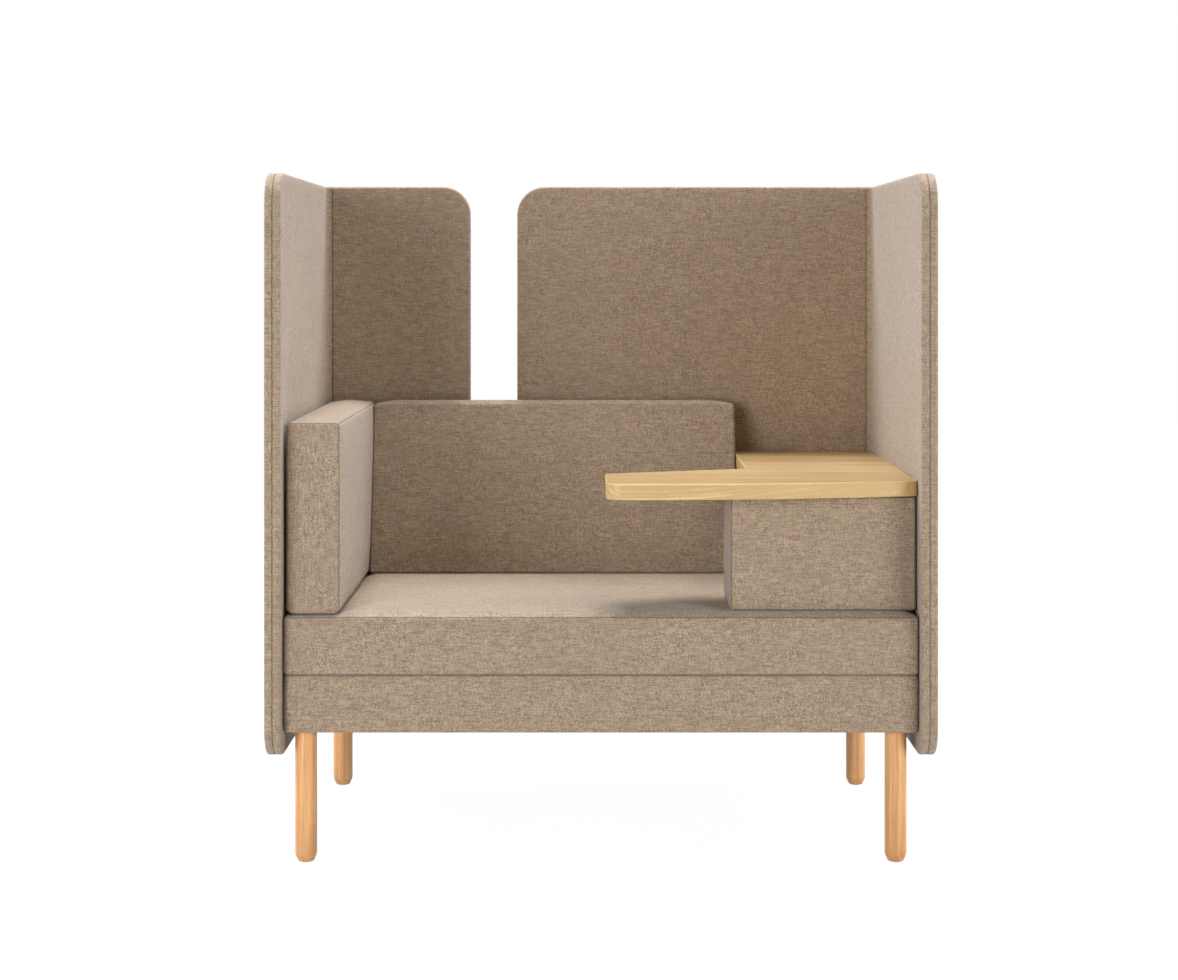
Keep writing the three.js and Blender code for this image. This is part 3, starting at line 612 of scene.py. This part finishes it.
def seam_shade_marks(lattice, edges):
    """How much painted shade darkens the cloth: 1 on the middle lines of the named edges, and less on the
    lines beside them.
    """
    seam_shades = np.zeros(len(lattice.cube))
    for edge in edges:
        shares = []
        for axis, end in (SIDES[side] for side in edge):
            along = lattice.cube[:, axis] * (1 if end else -1)
            shares.append((along - lattice.half[axis]) / lattice.radius + 1)
        seam_shades = np.maximum(seam_shades, np.clip((np.min(shares, axis=0) - SEAM_FADE) / (1 - SEAM_FADE), 0, 1))
    return seam_shades


def around(side):
    """The four edges of one side."""
    return [(side, other) for other in SIDES if other[1] != side[1]]


def eased(points, size, corners):
    """Rounds the long edges that run along y more than the others. corners gives the radius at the
    low and the high x, first at the bottom and then at the top."""
    result = points.copy()
    for number, radius in enumerate(corners):
        sign = np.array([1 if number % 2 else -1, 1 if number > 1 else -1])
        over = result[:, [0, 2]] * sign - (size[[0, 2]] / 2 - radius)
        inside = (over > 0).all(axis=1)
        share = over.max(axis=1) / np.maximum(np.linalg.norm(over, axis=1), 1e-9)
        moved = over * (share - 1)[:, None] * sign
        result[np.ix_(inside, [0, 2])] += moved[inside]
    return result


def cushion(name, node, size, place, radius, crowns, caps, seams, turned_sides=(), step=CUSHION_STEP):
    """A padded cover. It is blown up as cloth between its edges, and its seams are drawn in
    afterwards, as grooves darkened with painted shade. place puts a point of the box round the
    origin in the frame. A crown is a side, its rise, its reach and its margins. A cap is a side, how far it
    may be blown outwards and margins."""
    fine = Lattice(size, radius, step, TURN_SHARES)
    shift = sum(crown(fine, *values) for values in crowns)
    coarse = Lattice(size, radius, step * 2, COARSE_SHARES)
    shift += capped(fine, fine.spread(coarse, blown(coarse, place, crowns, caps)), caps)
    drawn = edge_points(fine, seams)
    shift[drawn] -= fine.out[drawn] * SEAM_DEPTH
    points = place(fine.points + shift)
    cloth = panel_cloth(fine, points, turned_sides)
    # painted shade along the seams
    seam_shades = seam_shade_marks(fine, seams)
    piece = make(name, points, fine.faces, FABRIC, cloth, seam_shades)
    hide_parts(node)


def blown(lattice, place, crowns, caps):
    """How far the crowned points go when the sides with a cap are blown up."""
    start = place(lattice.points + sum(crown(lattice, *values) for values in crowns))
    free = [side for side, *_ in caps]
    held = edge_points(lattice, [edge for side in SIDES for edge in around(side)])
    for side in SIDES:
        if side not in free:
            held |= lattice.on_side(side)
    return puffed(start, lattice.faces, held) - start


def capped(lattice, moved, caps):
    """Outward moves only, eased so that none passes its side's cap."""
    result = np.zeros_like(moved)
    for side, cap, *margins in caps:
        axis, end = SIDES[side]
        sign = 1 if end else -1
        limit = sign * crown(lattice, side, cap, CAP_REACH, *margins)[:, axis]
        outward = np.clip(sign * moved[:, axis], 0, None)
        safe = np.maximum(limit, 1e-9)
        result[:, axis] += np.where(limit > 0, sign * limit * np.tanh(outward / safe), 0)
    return result


def panel_cloth(lattice, points, turned_sides):
    """Weave places of the faces' corners. On a turned side the weft runs along the second axis."""
    cloth = np.zeros((len(lattice.faces), 4, 3))
    corners = points[lattice.faces]
    sides = np.array(lattice.side_of)
    for number, (name, (axis, _)) in enumerate(SIDES.items()):
        others = [other for other in range(3) if other != axis]
        if name in turned_sides:
            others.reverse()
        mine = sides == name
        for way in range(2):
            cloth[mine, :, way] = corners[mine][:, :, others[way]] + number * PANEL_SHIFTS[way]
        cloth[mine, :, 2] = number
    return cloth


def inset_box(node, low_inset, high_inset):
    """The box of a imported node, smaller by the insets at its low and its high end."""
    low, high = map(np.array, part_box(node))
    return low + low_inset, high - high_inset


def plain_cushion(name, node, insets, **shape):
    """A cushion with square sides."""
    low, high = inset_box(node, *insets)
    middle = (low + high) / 2
    cushion(name, node, high - low, lambda points: points + middle, **shape)


def seat_cushion():
    plain_cushion(
        "seat_cushion", "seat_cover", insets=((0.0015, 0.0015, 0), (0.0015, 0.0015, 0.006)), radius=0.007,
        crowns=(("+z", 0.006, 0.020, (0.0985, 0, 0, 0)), ("-y", 0.0015, 0.05), ("+x", 0.001, 0.05),
                ("-x", 0.001, 0.05)),
        caps=(("+z", 0.004, (0.1085, 0.352, 0.03, 0.155)), ("-y", 0.002)),
        seams=around("+z") + around("-z"))


def arm_cushion():
    low, high = inset_box("arm_cover", (0.0012, 0.0012, 0.0012), (0.0015, 0.0012, 0.005))
    size, middle = high - low, (low + high) / 2
    cushion(
        "arm_cushion", "arm_cover", size,
        lambda points: eased(points, size, ARM_LONG_EDGES) + middle, radius=0.0065,
        crowns=(("+x", 0.0015, 0.11), ("+z", 0.005, 0.05), ("-y", 0.0012, 0.04)),
        caps=(("+x", 0.0015), ("+z", 0.002), ("-y", 0.002)),
        seams=around("-y") + around("+y") + [("+x", "+z"), ("-x", "+z")],
        turned_sides=("-y",), step=0.006)


def back_cushion():
    """It stands upright against the back and tapers towards its top."""
    low, high = inset_box("back_cover", (0.0002, 0, 0.0002), (0.0012, 0, 0.007))
    middle = (low + high) / 2
    low_depth, high_depth = BACK_DEPTHS
    rear = FRONT + INNER_DEPTH - FIT
    size = np.array([high[0] - low[0], low_depth, high[2] - low[2]])

    def place(points):
        share = np.clip(points[:, 2] / size[2] + 0.5, 0, 1)
        depth = low_depth + (high_depth - low_depth) * share
        y = rear + (points[:, 1] / low_depth - 0.5) * depth
        return np.stack([points[:, 0] + middle[0], y, points[:, 2] + middle[2]], axis=1)

    cushion(
        "back_cushion", "back_cover", size, place, radius=0.0065,
        crowns=(("-y", 0.006, 0.12), ("+z", 0.007, 0.05), ("+x", 0.001, 0.05)),
        caps=(("-y", 0.005), ("+x", 0.001)), seams=around("-y") + around("+y"))


def table_block():
    plain_cushion(
        "table_block", "table_block_cover", insets=((0.002, 0.002, 0), (0.002, 0.002, 0)), radius=0.007,
        crowns=[(side, 0.002, 0.08) for side in ("-y", "+y", "-x")],
        caps=[(side, 0.002) for side in ("-y", "-x", "+y")],
        seams=around("-y") + around("+y"), step=0.007)


# ---- screens

BEND = INSIDE_BEND + PANEL_HALF
WING_RUN = REAR - FRONT - PANEL_HALF - BEND
BEND_RUN = BEND * math.pi / 2
BEND_CENTRE = HALF_WIDTH - PANEL_HALF - BEND
BEND_COLUMNS = 9
CORNER_COLUMNS = 9
SCREEN_STEP = 0.012
RIM_TO_SEAM = ((0.0, 0.004), (0.0003, 0.0012), (PANEL_SEAM_DIP, 0.0003))  # inset, off the middle
WEAVE_REACH = 0.03  # the weave runs this far round the edge
GROOVE_HALVES = (0.0008, 0.0015, 0.0030)  # half widths of the seam in the inner corner
GROOVE_SHARES = (0.55, 0.12, 0)  # of its depth, at these half widths
GROOVE_DEPTH = 0.0013
# painted shade in the inner corner's seam, as a multiple of the groove's share of its depth
GROOVE_SHADE = 1.3
SCREEN_SHIFT = 3  # of the weave, from one cover of a screen to the other


def bent(side, s, v, t):
    """Wraps a flat panel round its corner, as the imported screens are."""
    angle = np.clip((s - WING_RUN) / BEND, 0, math.pi / 2)
    radius = BEND - t
    beyond = np.maximum(s - WING_RUN - BEND_RUN, 0)
    x = BEND_CENTRE + radius * np.cos(angle) - beyond
    y = FRONT + np.minimum(s, WING_RUN) + radius * np.sin(angle)
    return np.stack([side * x, y, PANEL_BOTTOM + v], axis=-1)


def panel_columns(width, height, radius, places, rows, inset):
    """A grid over a rectangle with rounded corners: (u, v) with one column for each place."""
    turns = np.linspace(0, math.pi / 2, CORNER_COLUMNS)
    corner = radius - inset
    curve = corner * (1 - np.cos(turns))
    drop = corner * (1 - np.sin(turns))
    u = np.concatenate([inset + curve, places, width - inset - curve[::-1]])
    drops = np.concatenate([drop, np.zeros(len(places)), drop[::-1]])
    low, high = inset + drops, height - inset - drops
    v = low[:, None] + (high - low)[:, None] * rows[None, :]
    return np.stack([np.repeat(u[:, None], len(rows), axis=1), v], axis=-1)


def screen_places(width, seam_at):
    """Places of a screen's columns, closer together in its bend and at its inner seam."""
    bend = WING_RUN + BEND_RUN * np.linspace(0, 1, BEND_COLUMNS)
    wing = np.linspace(PANEL_CORNER, WING_RUN, round(WING_RUN / SCREEN_STEP))[1:-1]
    count = round((width - WING_RUN) / SCREEN_STEP)
    back = np.linspace(WING_RUN + BEND_RUN, width - PANEL_CORNER, count)[1:-1]
    groove = [seam_at + sign * half for half in GROOVE_HALVES for sign in (-1, 1)] if seam_at else []
    return np.unique(np.concatenate([wing, bend, back, groove]).round(6))


def screen_rim():
    """(inset, distance from the panel's middle) of each loop of a cover, from its face inwards."""
    turn = QUARTER_TURN[1:]
    curve = zip(PANEL_EDGE * (1 - np.sin(turn)), PANEL_HALF - PANEL_EDGE * (1 - np.cos(turn)))
    inside = PANEL_SEAM_DIP + PANEL_COVER
    return [*curve, *RIM_TO_SEAM, (inside, RIM_TO_SEAM[-1][1]), (inside, PANEL_HALF - PANEL_COVER)]


def across_inside(loop, columns, steps):
    """Faces across the inside of a cover, one between each two columns of its last loop."""
    bottom = loop[:columns + 1]
    right = loop[columns:columns + steps + 1]
    top = loop[columns + steps:2 * columns + steps + 1][::-1]
    left = np.concatenate([loop[2 * columns + steps:], loop[:1]])[::-1]
    strips = []
    for k in range(columns):
        strip = [bottom[k], bottom[k + 1]]
        strip += right[1:-1].tolist() if k == columns - 1 else []
        strip += [top[k + 1], top[k]]
        strip += left[1:-1][::-1].tolist() if k == 0 else []
        strips.append(strip[::-1])
    return strips


def screen_cover(name, side, width, face, seam_at):
    """One half of a screen's cover, from its flat face over the edge to the seam in the middle of
    the edge, and back inside. face is 1 towards the seat and -1 outwards."""
    height = PANEL_TOP - PANEL_BOTTOM
    places = screen_places(width, seam_at)
    rows = np.linspace(0, 1, round(height / SCREEN_STEP))

    def grid_at(inset):
        return panel_columns(width, height, PANEL_CORNER, places, rows, inset)

    grid, profile = grid_at(PANEL_EDGE), screen_rim()
    run = lengths([(PANEL_EDGE, PANEL_HALF), *profile])[1:]
    loops = [rim(grid_at(inset)) for inset, _ in profile]
    weave_loops = [rim(grid_at(PANEL_EDGE - min(length, WEAVE_REACH))) for length in run]
    flat = grid.reshape(-1, 2)
    count, size = len(flat), len(loops[0])
    groove = np.zeros(count)
    if seam_at:
        groove = np.interp(np.abs(flat[:, 0] - seam_at), [0, *GROOVE_HALVES], [1, *GROOVE_SHARES])
    off_middle = np.repeat([distance for _, distance in profile], size)
    edge_seam = np.repeat([point == RIM_TO_SEAM[-1] for point in profile], size)
    t = np.concatenate([PANEL_HALF - GROOVE_DEPTH * groove, off_middle])
    # painted shade on the seams: in the inner corner's groove and in the dip in the middle of the edge
    seam_shade = SCREEN_SEAM_SHADE * np.concatenate([np.clip(groove * GROOVE_SHADE, 0, 1), edge_seam])
    numbers = np.arange(count).reshape(grid.shape[:2])
    rings = [rim(numbers), *loop_numbers(count, len(profile), size)]
    faces = quads(numbers).tolist() + [corners[::-1] for corners in ring_faces(rings)]
    faces += across_inside(rings[-1], grid.shape[0] - 1, grid.shape[1] - 1)
    if side * face < 0:
        faces = [corners[::-1] for corners in faces]
    u, v = np.concatenate([flat, *loops]).T
    weave = np.concatenate([flat, *weave_loops])
    cloth = [(weave[corner, 0] + SCREEN_SHIFT * face, weave[corner, 1], side + 2 * face)
             for corners in faces for corner in corners]
    points = bent(side, u, v, face * t)
    piece = make(name, points, faces, FABRIC, cloth, seam_shade)
    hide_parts(f"{name}_cover")


def screens():
    back_edge = {-1: LEFT_BOX[1].x, 1: -RIGHT_BOX[0].x}
    for side, word in ((-1, "left"), (1, "right")):
        width = WING_RUN + BEND_RUN + BEND_CENTRE + back_edge[side]
        screen_cover(f"{word}_screen_inner", side, width, 1, WING_RUN + BEND_RUN)
        screen_cover(f"{word}_screen_outer", side, width, -1, None)


# ---- base

BASE_BULGE = 0.0012
BASE_EDGE = 0.005
BASE_COVER = 0.003
BASE_LIP = 0.020
BASE_STEP = 0.010
BASE_ROWS = 11
BASE_SHIFT, BASE_PANEL = 5.3, 7  # of its weave, apart from the other pieces'

DUST_SLACK = 0.0035
SLACK_REACH = 0.13
SLACK_RIPPLES = ((0.16, 41, 5), (0.12, -9, 53))  # share of the slack, waves along x and along y
DUST_POINTS = (97, 57)
RAIL_HOLD = 0.02  # a rail holds the sheet flat this far from its border or from the middle

STAPLE_EDGE = 0.008
STAPLE_MARGIN = 0.05  # from a corner of the sheet to the first staple
STAPLE_COUNTS = (16, 9)
STAPLE_WIDTH = 0.012
STAPLE_WIRE = 0.0005
STAPLE_BEND = 0.0006
STAPLE_FLAT = 0.6  # height of the wire, as a share of its width
STAPLE_SIDES = 8


def swept(name, node, width, depth, radius, corner, profile):
    """A closed profile of (inset, z) swept round a rectangle with rounded corners."""
    places = np.linspace(radius, width - radius, round(width / BASE_STEP))[1:-1]
    rows = np.linspace(0, 1, round(depth / BASE_STEP))
    loops = [rim(panel_columns(width, depth, radius, places, rows, inset)) for inset, _ in profile]
    size = len(loops[0])
    points = stacked([loop + corner for loop in loops], [z for _, z in profile])
    rings = loop_numbers(0, len(profile), size)
    faces = ring_faces(rings + rings[:1])
    along = lengths(np.vstack([loops[0], loops[0][:1]])) + BASE_SHIFT
    across = lengths(profile + profile[:1])
    cloth = [(along[u], across[v], BASE_PANEL)
             for number in range(len(profile)) for at in range(size)
             for u, v in ((at, number), (at + 1, number), (at + 1, number + 1), (at, number + 1))]
    piece = make(name, points, faces, FABRIC, cloth)
    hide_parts(node)


def base():
    low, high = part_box("base_cover")
    bottom, top = low.z, high.z
    width, depth = high.x - low.x - 2 * BASE_BULGE, high.y - low.y - 2 * BASE_BULGE
    wall = top - bottom - 2 * BASE_EDGE
    lower = rounded_edge(BASE_EDGE, bottom)
    walls = [(-BASE_BULGE * 4 * share * (1 - share), bottom + BASE_EDGE + share * wall)
             for share in np.linspace(0, 1, BASE_ROWS)[1:-1]]
    outside = [(BASE_LIP, bottom), *lower, *walls, *mirrored(lower, bottom, top), (BASE_LIP, top)]
    under, over = bottom + BASE_COVER, top - BASE_COVER
    inside = [(BASE_LIP, over), (BASE_COVER, over), (BASE_COVER, under), (BASE_LIP, under)]
    corner = (low.x + BASE_BULGE, low.y + BASE_BULGE)
    swept("base_upholstery", "base_cover", width, depth, INSIDE_BEND + FIT, corner, outside + inside)


def dust_sheet():
    """A thin sheet stapled under the rails, a little slack in the two bays between them."""
    low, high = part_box("dust_sheet")
    sides = [np.linspace(low[axis], high[axis], DUST_POINTS[axis]) for axis in range(2)]
    x, y = np.meshgrid(*sides, indexing="ij")
    across = np.minimum(np.minimum(x - low.x, high.x - x), np.abs(x)) - RAIL_HOLD
    along = np.minimum(y - low.y, high.y - y) - RAIL_HOLD
    slack = rise(across, SLACK_REACH) * rise(along, SLACK_REACH)
    ripple = 1 + sum(share * np.sin(x * x_rate + y * y_rate) for share, x_rate, y_rate in SLACK_RIPPLES)
    top = np.stack([x, y, high.z - DUST_SLACK * slack * ripple], axis=-1)
    bottom = top - (0, 0, high.z - low.z)
    numbers = np.arange(x.size).reshape(x.shape)
    upper, border = quads(numbers), rim(numbers)
    faces = upper.tolist() + (upper[:, ::-1] + x.size).tolist() + ring_faces([border + x.size, border])
    points = np.concatenate([top.reshape(-1, 3), bottom.reshape(-1, 3)])
    piece = make("slack_dust_sheet", points, faces, DUST)
    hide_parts("dust_sheet")


def staple_places(low, high):
    """(x, y, whether it lies along y) of each staple."""
    xs = np.linspace(low.x + STAPLE_MARGIN, high.x - STAPLE_MARGIN, STAPLE_COUNTS[0])
    ys = np.linspace(low.y + STAPLE_MARGIN, high.y - STAPLE_MARGIN, STAPLE_COUNTS[1])
    places = [(x, y, False) for x in xs for y in (low.y + STAPLE_EDGE, high.y - STAPLE_EDGE)]
    return places + [(x, y, True) for x in (low.x + STAPLE_EDGE, high.x - STAPLE_EDGE) for y in ys]


def staples():
    """Wire staples round the border of the dust sheet."""
    low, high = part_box("dust_sheet")
    half, bend = STAPLE_WIDTH / 2, STAPLE_BEND
    path = ((-half, 0.0), (bend - half, -bend), (half - bend, -bend), (half, 0.0))
    points, faces = [], []
    for x, y, along_y in staple_places(low, high):
        start = len(points)
        for at, drop in path:
            for side, up in STAPLE_WIRE * circle(STAPLE_SIDES):
                right, ahead = (side, at) if along_y else (at, side)
                points.append((x + right, y + ahead, low.z + drop + up * STAPLE_FLAT))
        made = closed_tube(loop_numbers(start, len(path), STAPLE_SIDES))
        faces += [face[::-1] for face in made] if along_y else made
    make("dust_sheet_staples", points, faces, STEEL)


# ---- wood

LEG_SIDES, GLIDE_SIDES = 96, 48
FOOT_DROP = 0.0015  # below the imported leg's end
FOOT_RADIUS, FOOT_ROUNDING = 0.0145, 0.0015
BEVEL_HEIGHT, BEVEL_ROUNDING = 0.013, 0.003
LEG_ARRIS = 0.0008
LEG_TOP_RING = 0.005
GLIDE_FOOT = ((0, 0, 0), (0.010, 0, 0.0008), (0.010, 0.0025, 0.0005), (0.002, 0.0025, 0.0003))
PIN_RADIUS, PIN_ROUNDING = 0.002, 0.0003
ROUNDING_STEPS = 5

# Table top. Depths are behind the front edges of the screens.
TABLE_RIGHT_FRONT = 0.040
TABLE_ARM_REAR = 0.292
TABLE_TIP_REAR = 0.182
BACK_NICHE = 0.304  # from the back cushion to the right screen
BACK_BULGE = 0.0012
NOTCH_LAP = 0.002  # the notch's side crosses the line of the cushion's side
# In the order of the outline's corners, with none in the middle of the bent front edge
TABLE_ROUNDINGS = (0.030, None, 0.015, INSIDE_BEND + FIT, 0.006, 0.006, 0.008)
CORNER_STEPS = 10
FRONT_STEPS = 40
TABLE_ARRIS = 0.0022
TABLE_RING = 0.0015  # from the arris to a ring that keeps the flat faces looking flat

# Screws of the brackets
SCREW_PROFILE = (  # radius, height
    (0.0036, 0.0), (0.0036, 0.0006), (0.0031, 0.0016), (0.0019, 0.0022), (0.0008, 0.0023), (0.0008, 0.0014),
)
SCREW_SHARES = (0.12, 0.5, 0.88)  # places along a bracket
SCREW_INSET = 0.014
SCREW_SIDES = 16
BRACKET_THICK = 0.003


def turned(name, node, place, profile, material, sides):
    """A revolved profile of (radius, height) pairs that starts and ends on the axis."""
    points = [(*place, profile[0][1])]
    for radius, z in profile[1:-1]:
        points += [(place[0] + radius * x, place[1] + radius * y, z) for x, y in circle(sides)]
    points.append((*place, profile[-1][1]))
    rings = loop_numbers(1, len(profile) - 2, sides)
    last = len(points) - 1
    faces = ring_faces(rings)
    faces += [[0, b, a] for a, b in zip(rings[0], np.roll(rings[0], -1))]
    faces += [[last, a, b] for a, b in zip(rings[-1], np.roll(rings[-1], -1))]
    piece = make(name, points, faces, material)
    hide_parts(node)


def rounded_profile(corners):
    """A profile whose corners (radius, height, rounding) are rounded, between two points on the axis."""
    profile = [corners[0][:2]]
    for before, here, after in zip(corners, corners[1:], corners[2:]):
        point = np.array(here[:2])
        start, end = [point + unit(other[:2] - point) * here[2] for other in (before, after)]
        profile += [curve_point(start, point, end, share)
                    for share in np.linspace(0, 1, ROUNDING_STEPS if here[2] else 1)]
    profile.append(corners[-1][:2])
    return profile


def curve_point(start, corner, end, share):
    """A point of the curve that leaves start towards the corner and reaches end from it."""
    return (1 - share) ** 2 * start + 2 * share * (1 - share) * corner + share ** 2 * end


def legs():
    for word in ("front_left", "front_right", "rear_left", "rear_right"):
        low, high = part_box(f"leg_{word}")
        place = ((low.x + high.x) / 2, (low.y + high.y) / 2)
        radius, foot, top = (high.x - low.x) / 2, low.z - FOOT_DROP, high.z
        leg = rounded_profile([
            (0, foot, 0), (FOOT_RADIUS, foot, FOOT_ROUNDING), (radius, foot + BEVEL_HEIGHT, BEVEL_ROUNDING),
            (radius, top, LEG_ARRIS), (LEG_TOP_RING, top, 0), (0, top, 0),
        ])
        turned(f"wood_leg_{word}", f"leg_{word}", place, leg, BEECH, LEG_SIDES)
        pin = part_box(f"glide_{word}")[1].z
        glide = rounded_profile([*GLIDE_FOOT, (PIN_RADIUS, pin, PIN_ROUNDING), (0, pin, 0)])
        turned(f"nylon_glide_{word}", f"glide_{word}", place, glide, NYLON, GLIDE_SIDES)


def corner_arc(before, corner, after, radius):
    """Points of the rounding of one corner between two edges."""
    point = np.array(corner)
    back, ahead = unit(before - point), unit(after - point)
    half = math.acos(float(np.clip(back @ ahead, -1, 1))) / 2
    middle = point + unit(back + ahead) * radius / math.sin(half)
    ends = [point + way * radius / math.tan(half) - middle for way in (back, ahead)]
    first, last = [math.atan2(y, x) for x, y in ends]
    sweep = (last - first + math.pi) % (2 * math.pi) - math.pi
    return [middle + radius * np.array([math.cos(a), math.sin(a)])
            for a in first + sweep * np.linspace(0, 1, CORNER_STEPS)]


def table_outline(low, high):
    """The notched outline, with a front edge that swings back towards the right screen."""
    back_right = INNER_HALF_WIDTH - BACK_NICHE
    corners = [
        (low.x, low.y),
        ((low.x + high.x) / 2, low.y),
        (high.x, FRONT + TABLE_RIGHT_FRONT),
        (high.x, high.y),
        (back_right + BACK_BULGE + FIT + NOTCH_LAP, high.y),
        (back_right - NOTCH_LAP, FRONT + TABLE_ARM_REAR),
        (low.x, FRONT + TABLE_TIP_REAR),
    ]
    bends = zip(corners[-1:] + corners, corners, corners[1:] + corners[:1], TABLE_ROUNDINGS)
    first, *others = [corner_arc(*bend) for bend in bends if bend[-1]]
    front = [curve_point(first[-1], np.array(corners[1]), others[0][0], share)
             for share in np.linspace(0, 1, FRONT_STEPS)[1:-1]]
    return np.concatenate([first, front, *others])


def table_top():
    low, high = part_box("table_top")
    outline, bottom, top = table_outline(low, high), low.z, high.z
    edges = np.roll(outline, -1, axis=0) - outline
    normals = unit(np.stack([edges[:, 1], -edges[:, 0]], axis=1))
    normals = unit(normals + np.roll(normals, 1, axis=0))
    profile = [(TABLE_ARRIS + TABLE_RING, bottom), *rounded_edge(TABLE_ARRIS, bottom)]
    profile += mirrored(profile, bottom, top)
    insets, heights = zip(*profile)
    points = stacked([outline - normals * inset for inset in insets], heights)
    faces = closed_tube(loop_numbers(0, len(profile), len(outline)))
    # the edge, where the oak is painted lighter than on the top
    edge = np.repeat(np.array(insets) < TABLE_ARRIS, len(outline))
    piece = make("oak_table_top", points, faces, OAK, mark=edge)
    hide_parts("table_top")


def screw_spots():
    """(place, right, up) of each screw, which points to the cross product of the two."""
    rear_low, rear_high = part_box("table_bracket_rear")
    side_low, side_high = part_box("table_bracket_side")
    under = rear_high.z - BRACKET_THICK
    spots = []
    for share in SCREW_SHARES:
        x = rear_low.x + share * (rear_high.x - rear_low.x)
        y = side_low.y + share * (side_high.y - side_low.y)
        spots += [
            ((x, rear_low.y + SCREW_INSET, under), (1, 0, 0), (0, -1, 0)),
            ((x, rear_high.y - BRACKET_THICK, rear_low.z + SCREW_INSET), (1, 0, 0), (0, 0, 1)),
            ((side_low.x + SCREW_INSET, y, under), (0, 1, 0), (1, 0, 0)),
            ((side_high.x - BRACKET_THICK, y, side_low.z + SCREW_INSET), (0, 1, 0), (0, 0, -1)),
        ]
    return spots


def screws():
    """Pan head screws of the two brackets under the table."""
    points, faces = [], []
    for place, right, up in np.array(screw_spots()):
        start = len(points)
        for radius, height in SCREW_PROFILE:
            points += [place + np.cross(right, up) * height + radius * (right * x + up * y)
                       for x, y in circle(SCREW_SIDES)]
        faces += closed_tube(loop_numbers(start, len(SCREW_PROFILE), SCREW_SIDES))
    make("bracket_screws", points, faces, STEEL)


# ---- what stays as packed

def dress_nodes():
    """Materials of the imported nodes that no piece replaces."""
    dress = (
        (FOAM, "foam", ("foam",)),
        (FELT, "acoustic_felt", ("felt",)),
        (PLY, "plywood", ("board", "core", "carcass", "deck")),
        (SOFTWOOD, "frame_wood", ("base_rail", "corner_block")),
        (STEEL, "steel", ("plate", "leg_stud", "leg_insert")),
        (DARK_STEEL, "dark_steel", ("screen_bolt", "table_bracket")),
    )
    for name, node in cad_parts.items():
        for material, slot, words in dress:
            if not node.hide_render and any(word in name for word in words):
                node.data.materials.clear()
                node.data.materials.append(material)


# ---- stage

def camera():
    data = bpy.data.cameras.new("camera")
    data.sensor_width = SENSOR
    data.lens = CAMERA_LENS
    data.shift_y = CAMERA_SHIFT
    view = added("camera", data)
    view.location = CAMERA_PLACE
    view.rotation_euler = (math.pi / 2, 0, 0)
    bpy.context.scene.camera = view


def floor():
    mesh = bpy.data.meshes.new("floor")
    corners = [(-1, -1), (1, -1), (1, 1), (-1, 1)]
    mesh.from_pydata([(x * FLOOR_HALF, y * FLOOR_HALF, 0) for x, y in corners], [], [(0, 1, 2, 3)])
    mesh.materials.append(floor_material())
    added("floor", mesh)


def dome():
    """A world that is seen as white and hardly lights the chair."""
    world = bpy.data.worlds.new("dome")
    tree = Tree(world)
    strength = tree.ranged(tree.backdrop_rays(), 0.0, 1.0, DOME_STRENGTH, 1.0)
    tree.fill("Background", Color=(1, 1, 1), Strength=strength)
    bpy.context.scene.world = world


def lamp(name, place, size, power):
    data = bpy.data.lights.new(name, "AREA")
    data.size = size
    data.energy = power
    light = added(name, data)
    light.location = place
    light.visible_camera = False
    light.rotation_euler = (Vector(LAMP_AIM) - Vector(place)).to_track_quat("-Z", "Y").to_euler()


def stage():
    camera()
    floor()
    dome()
    for values in LAMPS:
        lamp(*values)
    bpy.context.scene.view_settings.view_transform = "Standard"


stage()
screens()
base()
seat_cushion()
arm_cushion()
back_cushion()
table_block()
dust_sheet()
staples()
legs()
table_top()
screws()
dress_nodes()
